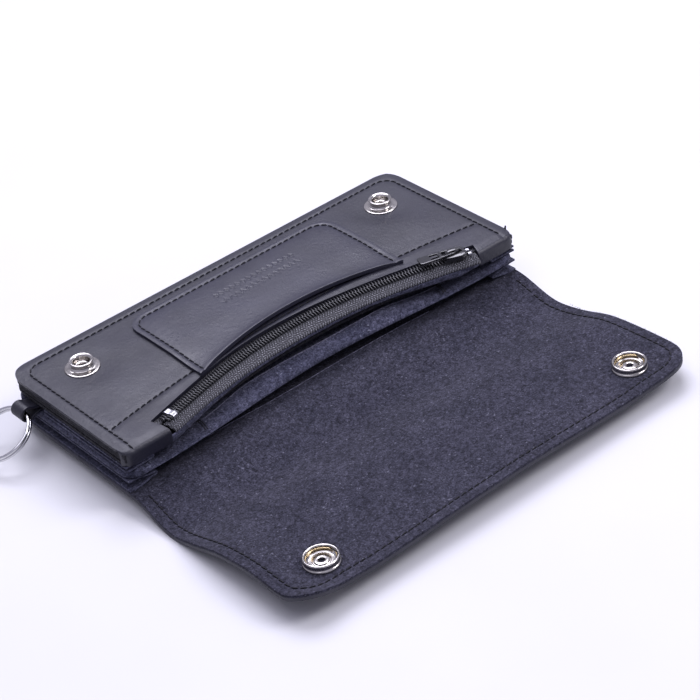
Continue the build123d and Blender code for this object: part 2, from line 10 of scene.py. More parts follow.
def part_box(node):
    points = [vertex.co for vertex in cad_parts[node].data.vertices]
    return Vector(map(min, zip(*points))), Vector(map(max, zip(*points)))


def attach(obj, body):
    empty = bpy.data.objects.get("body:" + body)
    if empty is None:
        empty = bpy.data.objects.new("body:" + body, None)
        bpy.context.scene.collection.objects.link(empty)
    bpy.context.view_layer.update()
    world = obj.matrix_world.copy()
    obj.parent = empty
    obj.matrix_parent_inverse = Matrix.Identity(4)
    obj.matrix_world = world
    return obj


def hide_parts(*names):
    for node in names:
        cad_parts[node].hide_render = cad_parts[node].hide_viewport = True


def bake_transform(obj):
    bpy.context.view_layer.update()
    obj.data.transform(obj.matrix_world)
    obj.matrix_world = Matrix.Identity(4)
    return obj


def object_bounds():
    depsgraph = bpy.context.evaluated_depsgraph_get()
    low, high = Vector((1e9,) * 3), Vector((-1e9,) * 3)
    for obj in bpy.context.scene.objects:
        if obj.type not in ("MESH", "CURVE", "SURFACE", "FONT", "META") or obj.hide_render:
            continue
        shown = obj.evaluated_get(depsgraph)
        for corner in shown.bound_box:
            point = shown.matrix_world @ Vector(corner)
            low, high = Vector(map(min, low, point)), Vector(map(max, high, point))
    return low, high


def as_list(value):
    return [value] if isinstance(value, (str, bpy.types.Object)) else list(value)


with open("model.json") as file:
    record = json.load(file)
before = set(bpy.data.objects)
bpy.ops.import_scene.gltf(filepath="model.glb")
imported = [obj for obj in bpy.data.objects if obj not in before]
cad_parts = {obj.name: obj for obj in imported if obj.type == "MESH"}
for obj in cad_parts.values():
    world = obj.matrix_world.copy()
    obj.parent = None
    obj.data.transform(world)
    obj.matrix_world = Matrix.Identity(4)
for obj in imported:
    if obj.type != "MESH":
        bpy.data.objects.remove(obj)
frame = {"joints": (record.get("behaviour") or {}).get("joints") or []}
cad_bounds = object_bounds()

# Lengths below are in millimetres and become metres when a mesh is made.
MM = 0.001
JOINTS = {j["name"]: j for j in frame["joints"]}


def low(node):
    return np.array(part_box(node)[0]) / MM


def high(node):
    return np.array(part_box(node)[1]) / MM


def pivot(name):
    return np.array(JOINTS[name]["pos_m"]) / MM


# ---- measures read from the frame ---------------------------------------------
HALF = high("cover_back")[0]
REAR = high("cover_back")[1]
OUTER = high("cover_back")[2]
COVER = high("back_lining")[2]
DIVIDER_LOW = low("divider")[2]
DIVIDER_TOP = high("divider")[2]
BASE_LOW = low("zip_pocket_base")[2]
TOP = high("zip_pocket_top")[2]
FRONT = low("zip_pocket_top")[1]
CREASE = pivot("spine_fold")[1]
FLAP_CREASE = pivot("flap_fold")[1]
SPINE_MIDDLE = (CREASE + FLAP_CREASE) / 2
TILT = radians(90 - JOINTS["flap_fold"]["range_deg"][1])
FLAP_LENGTH = (FLAP_CREASE - low("flap_lining")[1]) / cos(TILT)
ZIP_X, ZIP_Y = pivot("zip_travel")[:2]
PULLER = pivot("puller_flip")
R_ZIP = hypot(PULLER[0] - ZIP_X, PULLER[1] - ZIP_Y)
TAPE_TOP = high("zip_tape_rear")[2]
SLOT_LEFT = low("zip_tape_front")[0]
SLOT_RIGHT = high("zip_tape_front")[0]
PATCH_LEFT, PATCH_RIGHT = low("slip_pocket")[0], high("slip_pocket")[0]
PATCH_X = (PATCH_LEFT + PATCH_RIGHT) / 2
PATCH_HALF = (PATCH_RIGHT - PATCH_LEFT) / 2
PATCH_REAR = high("slip_pocket")[1]
PATCH_CORNER = low("slip_pocket")[1]
STUDS = [(low("snap_stud_" + s) + high("snap_stud_" + s)) / 2 for s in ("left", "right")]

# ---- measures of the leather work ---------------------------------------------
REAR_RADIUS = 8.0
FLAP_RADIUS = 12.0
LINING = COVER - OUTER
PANEL = 1.4
SEAM_INSET = 4.6
FLAP_SEAM_INSET = 4.2
PATCH_SEAM_INSET = 2.6
PATCH_RADIUS = 9.0
PATCH_FRONT_RISE = 8.5      # how far the slip pocket's front edge bows back
ZIP_SEAM_APEX = 23.6
ZIP_SEAM_BOW = 900.0
FOLD_RADIUS = 2.0
STRIP_Q = -6.2              # front face of the zip pocket from the middle of the zip


def smooth(t):
    t = np.clip(t, 0.0, 1.0)
    return t * t * (3.0 - 2.0 * t)


def bump(d, width):
    return np.exp(-((d / width) ** 2))


def ripple(x, y, size, seed):
    """Smooth unevenness between about -1 and 1, the same on every run."""
    x, y = np.broadcast_arrays(x, y)
    flat = [noise.noise(Vector((a / size, b / size, seed))) for a, b in zip(x.ravel(), y.ravel())]
    return np.array(flat).reshape(x.shape)


def corner_drop(x, half, radius):
    """How far a rounded end lies behind its straight middle at x."""
    d = np.clip(np.abs(x) - (half - radius), 0.0, radius)
    return radius - np.sqrt(radius * radius - d * d)


def rounded_distance(x, t, half, end, radius):
    """Signed distance from a strip's outline with two round corners at t = end."""
    dx = np.abs(x) - (half - radius)
    dt = t - (end - radius)
    outside = np.hypot(np.maximum(dx, 0), np.maximum(dt, 0)) - radius
    return np.where((dx > 0) & (dt > 0), outside, np.maximum(dx, dt) - radius)


ZIP_BOW = 2.1               # how far the middle of the soft zip has slumped back


def zip_bow(s, q):
    """Slump of the zip, nothing at its ends and at the pocket's front face."""
    return ZIP_BOW * smooth((64.0 - np.abs(s)) / 56.0) * smooth((q + 6.1) / 3.6)


def zip_point(s, q, z):
    """Point at arc length s along the zip, q behind its middle, at height z."""
    a = np.asarray(s) / R_ZIP
    r = R_ZIP + q + zip_bow(np.asarray(s), q)
    return np.stack(np.broadcast_arrays(ZIP_X + r * np.sin(a), ZIP_Y + r * np.cos(a), z), -1)


def zip_y(x, q):
    """Y of the curve that runs q behind the middle of the zip, at x."""
    return ZIP_Y + np.sqrt((R_ZIP + q) ** 2 - (x - ZIP_X) ** 2) + zip_bow(x - ZIP_X, q)


def zip_s(x):
    return R_ZIP * np.arcsin((x - ZIP_X) / R_ZIP)


# ---- mesh helpers ----------------------------------------------------------------
def make(name, verts, faces, material, uv=None, bevel=0.0, sharp=40.0, segments=2):
    mesh = bpy.data.meshes.new(name)
    mesh.from_pydata([tuple(v) for v in np.asarray(verts) * MM], [], faces)
    bm = bmesh.new()
    bm.from_mesh(mesh)
    if uv is not None:
        layer = bm.loops.layers.uv.new("UVMap")
        for face in bm.faces:
            for loop in face.loops:
                loop[layer].uv = uv[loop.vert.index]
    loose = [v for v in bm.verts if not v.link_faces]
    bmesh.ops.delete(bm, geom=loose, context="VERTS")
    bmesh.ops.recalc_face_normals(bm, faces=bm.faces)
    if bevel:
        edges = [e for e in bm.edges if len(e.link_faces) == 2 and e.calc_face_angle(0) > radians(sharp)]
        bmesh.ops.bevel(bm, geom=edges, offset=bevel * MM, offset_type="OFFSET", segments=segments,
                        profile=0.5, affect="EDGES", clamp_overlap=True)
    for face in bm.faces:
        face.smooth = True
    bm.to_mesh(mesh)
    bm.free()
    mesh.materials.append(material)
    obj = bpy.data.objects.new(name, mesh)
    bpy.context.scene.collection.objects.link(obj)
    return obj


def fasten(obj, body, slot, *nodes):
    """The piece moves with the body and stands for the nodes; the slot is not used."""
    if nodes:
        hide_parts(*nodes)
    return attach(obj, body)


def grid_faces(rows, cols, around=False):
    faces = []
    for i in range(rows - 1):
        for j in range(cols if around else cols - 1):
            k = (j + 1) % cols
            faces.append((i * cols + j, (i + 1) * cols + j, (i + 1) * cols + k, i * cols + k))
    return faces


def capped_tube_faces(rings, count):
    """Faces round a stack of rings, closed at both ends."""
    last = (rings - 1) * count
    ends = [tuple(range(count)), tuple(last + k for k in reversed(range(count)))]
    return grid_faces(rings, count, around=True) + ends


def normals(grid):
    """Upward normals of a grid of points."""
    along = np.gradient(grid, axis=0)
    across = np.gradient(grid, axis=1)
    n = np.cross(along, across)
    n /= np.maximum(np.linalg.norm(n, axis=2, keepdims=True), 1e-9)
    return n


def slab(top, bottom, keep=None):
    """Closed slab between two grids; keep says which cells are leather."""
    rows, cols = top.shape[:2]
    if keep is None:
        keep = np.ones((rows - 1, cols - 1), bool)
    verts = np.concatenate([top.reshape(-1, 3), bottom.reshape(-1, 3)])
    under = rows * cols
    faces = []

    def kept(i, j):
        return 0 <= i < rows - 1 and 0 <= j < cols - 1 and keep[i, j]

    for i in range(rows - 1):
        for j in range(cols - 1):
            if not keep[i, j]:
                continue
            a, b = i * cols + j, (i + 1) * cols + j
            c, d = b + 1, a + 1
            faces.append((a, b, c, d))
            faces.append((under + d, under + c, under + b, under + a))
            for p, q, ni, nj in ((a, b, i, j - 1), (b, c, i + 1, j), (c, d, i, j + 1), (d, a, i - 1, j)):
                if not kept(ni, nj):
                    faces.append((q, p, under + p, under + q))
    return verts, faces


def thick(grid, amount):
    """The other side of a sheet, amount below its upper side."""
    n = normals(grid)
    flip = np.sign(n[..., 2].mean()) or 1.0
    return grid - n * flip * amount


def tube(path, radius, sides=6):
    """Round tube along points; returns vertices, faces and (length, turn) coordinates."""
    path = np.asarray(path, float)
    count = len(path)
    radius = np.broadcast_to(radius, (count,))
    tangent = np.gradient(path, axis=0)
    tangent /= np.linalg.norm(tangent, axis=1, keepdims=True)
    side = np.cross(tangent[0], (0.0, 0.0, 1.0))
    if np.linalg.norm(side) < 0.1:
        side = np.cross(tangent[0], (0.0, 1.0, 0.0))
    side /= np.linalg.norm(side)
    verts, uv, length = [], [], 0.0
    for i in range(count):
        side = side - tangent[i] * np.dot(side, tangent[i])
        side /= np.linalg.norm(side)
        other = np.cross(tangent[i], side)
        if i:
            length += np.linalg.norm(path[i] - path[i - 1])
        for k in range(sides):
            turn = 2 * pi * k / sides
            verts.append(path[i] + (side * cos(turn) + other * sin(turn)) * radius[i])
            uv.append((length, k / sides))
    return verts, capped_tube_faces(count, sides), uv


def make_tube(name, path, radius, material, sides=6):
    verts, faces, uv = tube(path, radius, sides)
    return make(name, verts, faces, material, uv=uv)


class Parts:
    """Several closed shapes gathered into one mesh."""

    def __init__(self):
        self.verts, self.faces, self.uv = [], [], []

    def add(self, verts, faces, uv=None):
        start = len(self.verts)
        self.verts.extend(list(verts))
        self.faces.extend([tuple(start + k for k in f) for f in faces])
        self.uv.extend(list(uv) if uv is not None else [(0.0, 0.0)] * len(verts))

    def make(self, name, material, **options):
        return make(name, np.array(self.verts), self.faces, material, uv=self.uv, **options)


def lathe(profile, origin, axis=(0, 0, 1), sides=64):
    """Closed ring of revolution from (radius, height) points, about an axis."""
    axis = np.array(axis, float) / np.linalg.norm(axis)
    side = np.array((1.0, 0.0, 0.0))
    other = np.cross(axis, side)
    verts = []
    for k in range(sides):
        turn = 2 * pi * k / sides
        out = side * cos(turn) + other * sin(turn)
        verts += [np.array(origin) + out * r + axis * h for r, h in profile]
    n = len(profile)
    faces = []
    for k in range(sides):
        for i in range(n):
            a, b = k * n + i, k * n + (i + 1) % n
            c, d = ((k + 1) % sides) * n + (i + 1) % n, ((k + 1) % sides) * n + i
            faces.append((a, b, c, d))
    return verts, faces


def rounded(points, radius, steps=4):
    """Closed outline with its corners rounded."""
    points = [np.array(p, float) for p in points]
    radii = radius if hasattr(radius, "__len__") else [radius] * len(points)
    out = []
    for i, p in enumerate(points):
        a, b = points[i - 1] - p, points[(i + 1) % len(points)] - p
        la, lb = np.linalg.norm(a), np.linalg.norm(b)
        r = min(radii[i], 0.45 * la, 0.45 * lb)
        if r <= 0:
            out.append(p)
            continue
        for t in np.linspace(0, 1, steps + 1):
            out.append((1 - t) ** 2 * (p + a / la * r) + 2 * t * (1 - t) * p + t * t * (p + b / lb * r))
    return out


def columns(half, insets, step):
    inner = half - insets[-1]
    middle = np.linspace(-inner, inner, int(round(2 * inner / step)) + 1)
    edge = np.array(insets[:-1])
    return np.concatenate([edge - half, middle, (half - edge)[::-1]])


def spaced(*groups):
    """Sorted values with no two closer than 0.2."""
    values = np.sort(np.concatenate([np.atleast_1d(g) for g in groups]))
    keep = [values[0]]
    for v in values[1:]:
        if v - keep[-1] > 0.2:
            keep.append(v)
    return np.array(keep)


EDGE = (0, 0.35, 0.8, 1.5, 2.4, 3.4, 3.8, 4.2, 4.6, 5.1, 6.0, 7.5, 9.5, 12.0)


# ---- materials ---------------------------------------------------------------------
def material(name, roughness=0.5, metallic=0.0, **sockets):
    mat = bpy.data.materials.new(name)
    mat.use_nodes = True
    shader = mat.node_tree.nodes["Principled BSDF"]
    shader.inputs["Roughness"].default_value = roughness
    shader.inputs["Metallic"].default_value = metallic
    for socket, value in sockets.items():
        shader.inputs[socket.replace("_", " ")].default_value = value
    return mat


class Nodes:
    """Short names for wiring a material's nodes."""

    def __init__(self, mat):
        self.tree = mat.node_tree
        self.shader = self.tree.nodes["Principled BSDF"]
        self.coords = self.tree.nodes.new("ShaderNodeTexCoord")

    def link(self, source, target):
        self.tree.links.new(source, target)

    def mapped(self, scale, kind="Object", turn=0.0):
        """Coordinates of one kind, scaled and turned."""
        node = self.tree.nodes.new("ShaderNodeMapping")
        node.inputs["Scale"].default_value = scale
        node.inputs["Rotation"].default_value = (0.0, 0.0, turn)
        self.link(self.coords.outputs[kind], node.inputs["Vector"])
        return node.outputs["Vector"]

    def noise(self, scale, detail=4.0, rough=0.55, vector=None):
        node = self.tree.nodes.new("ShaderNodeTexNoise")
        node.inputs["Scale"].default_value = scale
        node.inputs["Detail"].default_value = detail
        node.inputs["Roughness"].default_value = rough
        self.link(vector or self.coords.outputs["Object"], node.inputs["Vector"])
        return node.outputs["Fac"]

    def cells(self, scale):
        """Distance from the borders between small cells."""
        node = self.tree.nodes.new("ShaderNodeTexVoronoi")
        node.feature = "DISTANCE_TO_EDGE"
        node.inputs["Scale"].default_value = scale
        self.link(self.coords.outputs["Object"], node.inputs["Vector"])
        return node.outputs["Distance"]

    def slanted_bands(self, scale, vector):
        node = self.tree.nodes.new("ShaderNodeTexWave")
        node.bands_direction = "DIAGONAL"
        node.inputs["Scale"].default_value = scale
        self.link(vector, node.inputs["Vector"])
        return node.outputs["Fac"]

    def ramp(self, source, *stops):
        node = self.tree.nodes.new("ShaderNodeValToRGB")
        ramp = node.color_ramp
        while len(ramp.elements) < len(stops):
            ramp.elements.new(0.5)
        for element, (place, colour) in zip(ramp.elements, stops):
            element.position = place
            element.color = (*colour, 1.0) if hasattr(colour, "__len__") else (colour,) * 3 + (1.0,)
        self.link(source, node.inputs["Fac"])
        return node.outputs["Color"]

    def math(self, kind, a, b):
        node = self.tree.nodes.new("ShaderNodeMath")
        node.operation = kind
        for socket, value in zip(node.inputs, (a, b)):
            if isinstance(value, (int, float)):
                socket.default_value = value
            else:
                self.link(value, socket)
        return node.outputs["Value"]

    def mix(self, fac, a, b, kind="MIX"):
        node = self.tree.nodes.new("ShaderNodeMix")
        node.data_type = "RGBA"
        node.blend_type = kind
        for socket, value in ((node.inputs["Factor"], fac), (node.inputs[6], a), (node.inputs[7], b)):
            if isinstance(value, (int, float)):
                socket.default_value = value
            elif isinstance(value, tuple):
                socket.default_value = (*value, 1.0)
            else:
                self.link(value, socket)
        return node.outputs[2]

    def colour(self, source):
        self.link(source, self.shader.inputs["Base Color"])

    def rough(self, source):
        self.link(source, self.shader.inputs["Roughness"])

    def bumps(self, *layers):
        """Bump layers as (height, strength, distance in mm), one over another."""
        previous = None
        for height, strength, distance in layers:
            node = self.tree.nodes.new("ShaderNodeBump")
            node.inputs["Strength"].default_value = strength
            node.inputs["Distance"].default_value = distance * MM
            self.link(height, node.inputs["Height"])
            if previous is not None:
                self.link(previous, node.inputs["Normal"])
            previous = node.outputs["Normal"]
        self.link(previous, self.shader.inputs["Normal"])


def grain_leather(name, dark, light, roughness):
    """Smooth full-grain leather: fine pebble, soft creases, faint mottling."""
    mat = material(name, roughness, IOR=1.5)
    n = Nodes(mat)
    n.colour(n.ramp(n.noise(45.0, 5.0, 0.6), (0.3, dark), (0.75, light)))
    pebble = n.cells(1000.0)
    n.rough(n.ramp(n.noise(120.0, 4.0), (0.3, roughness - 0.07), (0.7, roughness + 0.09)))
    n.bumps((pebble, 0.55, 0.10), (n.noise(620.0, 4.0, 0.65), 0.8, 0.2),
            (n.noise(2600.0, 3.0, 0.7), 0.3, 0.03))
    return mat


def suede(name, dark, mid, fleck, scale=1.0):
    """Split leather, rough side out: short nap with pale flecks and dark pits."""
    mat = material(name, 0.92, Specular_IOR_Level=0.12, Sheen_Weight=0.06, Sheen_Roughness=0.5)
    n = Nodes(mat)
    nap = n.noise(1500.0 * scale, 5.0, 0.75)
    patches = n.noise(70.0, 5.0, 0.6)
    base = n.mix(n.ramp(nap, (0.36, 0.0), (0.64, 1.0)), dark, mid)
    tufts = n.ramp(n.noise(620.0 * scale, 6.0, 0.8), (0.38, 0.0), (0.62, 1.0))
    base = n.mix(1.0, base, n.mix(tufts, (0.45, 0.45, 0.48), (1.7, 1.7, 1.65)), "MULTIPLY")
    shade = n.mix(n.ramp(patches, (0.3, 0.0), (0.72, 0.75)), (0.62, 0.62, 0.66), (1.25, 1.22, 1.2))
    base = n.mix(1.0, base, shade, "MULTIPLY")
    specks = n.ramp(n.noise(900.0 * scale, 2.0, 0.5), (0.66, 0.0), (0.74, 1.0))
    base = n.mix(n.math("MULTIPLY", specks, 0.55), base, fleck)
    n.colour(base)
    n.bumps((patches, 0.4, 0.5), (n.noise(420.0 * scale, 4.0, 0.65), 0.5, 0.22), (nap, 0.8, 0.12))
    return mat


LEATHER = grain_leather("grain_leather_top", (0.007, 0.007, 0.014), (0.014, 0.014, 0.026), 0.46)
PATCH_LEATHER = grain_leather("grain_leather_patch", (0.011, 0.011, 0.021), (0.020, 0.020, 0.036), 0.42)
COVER_LEATHER = grain_leather("grain_leather_cover", (0.014, 0.014, 0.022), (0.026, 0.026, 0.038), 0.5)
SUEDE = suede("suede_lining_nap", (0.010, 0.010, 0.015), (0.050, 0.050, 0.074), (0.17, 0.17, 0.22))
NAVY = suede("split_leather_navy", (0.020, 0.021, 0.034), (0.085, 0.088, 0.135), (0.26, 0.27, 0.34))
# paler suede for cut edges: partly their own colour, partly a painted highlight where they catch the light
PALE_EDGE_AND_HIGHLIGHT = suede("split_leather_cut_and_highlight", (0.05, 0.05, 0.075), (0.13, 0.13, 0.18), (0.30, 0.30, 0.36), 1.2)
EDGES = suede("split_leather_edge", (0.006, 0.006, 0.008), (0.030, 0.030, 0.036), (0.20, 0.20, 0.20), 0.9)


def thread_material():
    mat = material("bonded_thread", 0.6, Specular_IOR_Level=0.3)
    n = Nodes(mat)
    twist = n.slanted_bands(1.1, n.mapped((1.0, 6.0, 1.0), "UV"))
    n.colour(n.ramp(twist, (0.2, (0.003, 0.003, 0.005)), (0.9, (0.014, 0.014, 0.019))))
    n.bumps((twist, 0.8, 0.06))
    return mat


def tape_material():
    """Herringbone twill: rows of slanted ribs that change direction, with grey flecks; the crests of the
    ribs are painted lighter as a painted highlight.
    """
    mat = material("zip_tape_twill", 0.8, Sheen_Weight=0.15, Specular_IOR_Level=0.35)
    n = Nodes(mat)
    split = n.tree.nodes.new("ShaderNodeSeparateXYZ")
    n.link(n.coords.outputs["UV"], split.inputs["Vector"])
    u, v = split.outputs["X"], split.outputs["Y"]
    zigzag = n.math("PINGPONG", v, 1.25)
    phase = n.math("MULTIPLY", n.math("ADD", u, zigzag), 2 * pi / 1.15)
    rib = n.math("ADD", n.math("MULTIPLY", n.math("SINE", phase, 0.0), 0.5), 0.5)
    row = n.math("MULTIPLY", v, 2 * pi / 0.62)
    rows = n.math("ADD", n.math("MULTIPLY", n.math("SINE", row, 0.0), 0.5), 0.5)
    weave = n.math("MULTIPLY", rib, n.math("ADD", n.math("MULTIPLY", rows, 0.6), 0.4))
    flecks = n.ramp(n.noise(2.4, 2.0, 0.6, n.mapped((1.0, 1.6, 1.0), "UV")), (0.42, 0.25), (0.62, 1.0))
    # painted highlight: the colour is lighter on the crests of the weave's ribs
    lit = n.math("MULTIPLY", weave, flecks)
    n.colour(n.ramp(lit, (0.08, (0.006, 0.006, 0.009)), (0.4, (0.050, 0.050, 0.062)),
                    (0.85, (0.30, 0.30, 0.33))))
    n.bumps((weave, 0.9, 0.16))
    return mat


def coil_material():
    mat = material("nylon_coil", 0.3, Specular_IOR_Level=0.6)
    n = Nodes(mat)
    n.colour(n.ramp(n.noise(300.0, 3.0), (0.3, (0.008, 0.008, 0.010)), (0.7, (0.030, 0.030, 0.034))))
    n.bumps((n.noise(1800.0, 2.0), 0.2, 0.02))
    return mat


def metal(name, dark, light, roughness):
    """Plated metal: slight tint in patches, fine scratches one way."""
    mat = material(name, roughness, 1.0)
    n = Nodes(mat)
    n.colour(n.ramp(n.noise(180.0, 4.0), (0.3, dark), (0.7, light)))
    marks = n.noise(900.0, 5.0, 0.7, n.mapped((1.0, 0.25, 1.0), turn=0.6))
    n.rough(n.ramp(marks, (0.3, max(roughness - 0.05, 0.03)), (0.7, roughness + 0.08)))
    n.bumps((marks, 0.15, 0.015))
    return mat


def enamel():
    mat = material("zip_enamel", 0.18, Specular_IOR_Level=0.6, Coat_Weight=0.6, Coat_Roughness=0.1)
    n = Nodes(mat)
    n.colour(n.ramp(n.noise(250.0, 4.0), (0.3, (0.006, 0.006, 0.007)), (0.7, (0.016, 0.016, 0.018))))
    n.bumps((n.noise(500.0, 3.0), 0.2, 0.03))
    return mat


THREAD = thread_material()
TAPE = tape_material()
COIL = coil_material()
ENAMEL = enamel()
NICKEL = metal("nickel_plate", (0.36, 0.34, 0.32), (0.62, 0.59, 0.56), 0.17)
BRIGHT = metal("clamped_stop", (0.34, 0.34, 0.36), (0.52, 0.52, 0.55), 0.3)
BRASS = metal("spring_brass_wire", (0.50, 0.38, 0.20), (0.72, 0.58, 0.34), 0.22)
STEEL = metal("ring_steel_wire", (0.52, 0.52, 0.53), (0.74, 0.74, 0.74), 0.16)


# ---- stitches ------------------------------------------------------------------------
STITCH_PITCH = 3.0
STITCH_LENGTH = 2.55
STITCH_RADIUS = 0.27
STITCH_SLANT = 0.16
STITCH_LIFT = 0.16
SEAM_STEP = 0.25            # between the points of a seam's line
UP = (0, 0, 1)


def u_line(half, start, end, radius, centre=0.0):
    """Plan line up one side, round two corners and down the other."""
    points = [(-half, start), (-half, end - radius)]
    for t in np.linspace(pi, pi / 2, 9)[1:]:
        points.append((-half + radius + radius * cos(t), end - radius + radius * sin(t)))
    for t in np.linspace(pi / 2, 0, 9):
        points.append((half - radius + radius * cos(t), end - radius + radius * sin(t)))
    points.append((half, start))
    points = np.array(points) + np.array((centre, 0.0))
    lengths = np.concatenate([[0], np.cumsum(np.linalg.norm(np.diff(points, axis=0), axis=1))])
    places = np.arange(0, lengths[-1], SEAM_STEP)
    return np.stack([np.interp(places, lengths, points[:, k]) for k in (0, 1)], -1)


def stitch_row(parts, line, up):
    """Separate stitches along a 3-D line, each rising out of the leather and going back in."""
    steps = np.linalg.norm(np.diff(line, axis=0), axis=1)
    lengths = np.concatenate([[0], np.cumsum(steps)])
    up = np.asarray(up, float)
    for k in range(int(lengths[-1] / STITCH_PITCH)):
        centre = (k + 0.5) * STITCH_PITCH
        u = np.linspace(-1, 1, 7)
        places = centre + u * STITCH_LENGTH / 2
        if places[0] < 0 or places[-1] > lengths[-1]:
            continue
        points = np.stack([np.interp(places, lengths, line[:, c]) for c in range(3)], -1)
        along = points[-1] - points[0]
        side = np.cross(up, along / np.linalg.norm(along))
        height = STITCH_LIFT * (1 - np.abs(u) ** 3) - 0.30 * np.abs(u) ** 6
        points = points + up * height[:, None] + side * (STITCH_SLANT * u)[:, None]
        parts.add(*tube(points, STITCH_RADIUS * (1 - 0.35 * np.abs(u) ** 4)))


def seam(name, lines, up=UP):
    """All the stitches of one seam, along one or more lines."""
    stitches = Parts()
    for line in lines:
        stitch_row(stitches, line, up)
    return stitches.make(name, THREAD)


# ---- cover: outer leather and lining, bent at two creases --------------------------------
VALLEY = 3.9                # the spine hangs down to the table in front of the body
FLAP_SKEW = 1.0             # and pulls a little to the left there
FLAP_END = FLAP_LENGTH + SPINE_MIDDLE - FLAP_CREASE     # from mid-spine to the free edge
FLAP_GROOVE = 0.24
GROOVE_WIDTH = 0.55
COVER_SEAM_X = HALF - FLAP_SEAM_INSET
FLAP_UP = np.array((0.0, sin(TILT), cos(TILT)))
SOCKET_S = (FLAP_CREASE - (low("snap_socket_left")[1] + high("snap_socket_left")[1]) / 2) / cos(TILT)


def flap_point(x, s, h):
    """Point on the flap: s from its crease, h above its lining."""
    x, s, h = np.broadcast_arrays(x, s, h)
    return np.stack([x - FLAP_SKEW * bump(s, 24.0), FLAP_CREASE - s * cos(TILT) + h * sin(TILT),
                     COVER + s * sin(TILT) + h * cos(TILT)], -1)


def down_spine(y):
    """0 behind the body's front edge, growing to 1 at the flap's crease."""
    start = CREASE + 3.0
    return smooth((start - y) / (start - FLAP_CREASE))


def on_spine(x, y, height):
    """Point of the spine as it hangs: height above the table if it lay flat."""
    return np.stack([x - FLAP_SKEW * down_spine(y), y, height - VALLEY * down_spine(y)], -1)


def flap_wave(x, s):
    """How the open flap lies: a long low hump, a curled corner, small ripples."""
    wave = 0.35 * ripple(x, s, 38.0, 3.1) * smooth((s - 4) / 16)
    wave -= VALLEY * bump(s, 17.0 + 3.0 * x / HALF) / cos(TILT)
    wave += 1.6 * smooth((np.abs(x) - 72) / 16) * smooth((s - 12) / 18)
    wave += 0.55 * smooth((s - 45) / 25) * np.cos(pi * np.clip(x / 62.0, -1, 1))
    wave += 1.2 * smooth((-x - 60) / 30) * bump(s - 42, 12)
    wave += 1.2 * smooth((-x - 60) / 30) * smooth((s - 61) / 9)
    wave -= 0.5 * smooth((x - 78) / 14) * smooth((s - 8) / 20)
    for stud in STUDS:
        wave *= smooth((np.hypot(x - stud[0], s - SOCKET_S) - 7.0) / 9.0)
    return wave


def lip_line(x):
    """Y of the lining's free edge at the mouth of the lower compartment."""
    return 4.4 + 1.8 * bump(x + 56, 22) + 0.8 * bump(x - 12, 30) - 3.4 * smooth((np.abs(x) - 76) / 16)


def lining_height(x, y):
    """Height of the lining under the body, with a free lip at the mouth."""
    inside = smooth((84 - np.abs(x)) / 8) * smooth((60 - y) / 6)
    step = smooth((y - lip_line(x)) / 0.3)
    lip = 0.55 * bump(y - lip_line(x), 2.4) * (1 - step) * smooth((55 - np.abs(x)) / 20)
    return COVER - 0.85 * step * inside + lip


X_COVER = columns(HALF, EDGE, 2.2)[None, :]


def round_end(t, end, radius, hold):
    """Rows t of the cover, those past hold drawn in to round its two corners at the end."""
    drop = corner_drop(X_COVER, HALF, radius)
    return np.where(t > hold, hold + (t - hold) * (end - drop - hold) / (end - hold), t + 0 * X_COVER)


def cover_seam_groove(x, t):
    """Dip along the seam of flap and spine; t is the distance from mid-spine."""
    d = rounded_distance(x, t, COVER_SEAM_X, FLAP_END - FLAP_SEAM_INSET, FLAP_RADIUS - FLAP_SEAM_INSET)
    return -FLAP_GROOVE * bump(d, GROOVE_WIDTH)


def body_sheets():
    """Grids of the cover behind mid-spine: lining top, between the leathers, underside."""
    rows = spaced(REAR - np.array(EDGE), np.arange(9.0, REAR - EDGE[-1], 3.0), np.arange(3.0, 8.6, 0.3),
                  np.arange(CREASE - 5.0, 3.0, 0.5), np.arange(SPINE_MIDDLE, CREASE - 5.0, 1.3))[::-1]
    y = round_end(rows[:, None], REAR, REAR_RADIUS, 50.0)
    x = X_COVER + 0 * y
    groove = -FLAP_GROOVE * bump(np.abs(x) - COVER_SEAM_X, GROOVE_WIDTH) * smooth(CREASE - y)
    skewed = x - FLAP_SKEW * down_spine(y)
    return [on_spine(x, y, height) for height in (lining_height(skewed, y) + groove, OUTER, 0.0)]


def flap_sheets():
    """The same grids in front of mid-spine, over the second crease and along the flap."""
    rows = spaced(FLAP_LENGTH - np.array(EDGE), np.arange(4.0, FLAP_LENGTH - EDGE[-1], 2.2),
                  np.arange(0.3, 4.0, 0.5))
    s = round_end(rows[:, None], FLAP_LENGTH, FLAP_RADIUS, 35.0)
    x = X_COVER + 0 * s
    wave = flap_wave(x, s)
    groove = cover_seam_groove(x, s + SPINE_MIDDLE - FLAP_CREASE)
    spine_y = np.concatenate([np.arange(SPINE_MIDDLE, FLAP_CREASE + 4.2, -1.3),
                              np.arange(FLAP_CREASE + 3.6, FLAP_CREASE - 0.05, -0.45)])[:, None]
    spine_y = spine_y + 0 * X_COVER
    spine_x = X_COVER + 0 * spine_y
    spine_groove = cover_seam_groove(spine_x, SPINE_MIDDLE - spine_y)
    sheets = []
    for depth, grooved in ((0.0, 1.0), (-LINING, 0.0), (-COVER, 0.0)):
        spine = on_spine(spine_x, spine_y, COVER + depth + grooved * spine_groove)
        sheets.append(np.concatenate([spine, flap_point(x, s, depth + wave + grooved * groove)]))
    return sheets


def over_crease(obj, a, b, y, slot, *nodes):
    """The piece is baked in place and stands for the nodes; bodies a and b, the crease y and the slot are
    not used.
    """
    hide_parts(*nodes)
    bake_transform(obj)
    return obj


top_a, middle_a, under_a = body_sheets()
top_b, middle_b, under_b = flap_sheets()
lining_back = make("lining_back", *slab(top_a, middle_a), SUEDE, bevel=0.16)
lining_flap = make("lining_flap", *slab(top_b, middle_b), SUEDE, bevel=0.16)
cover_back = make("cover_leather_back", *slab(middle_a, under_a), COVER_LEATHER, bevel=0.3)
cover_flap = make("cover_leather_flap", *slab(middle_b, under_b), COVER_LEATHER, bevel=0.3)

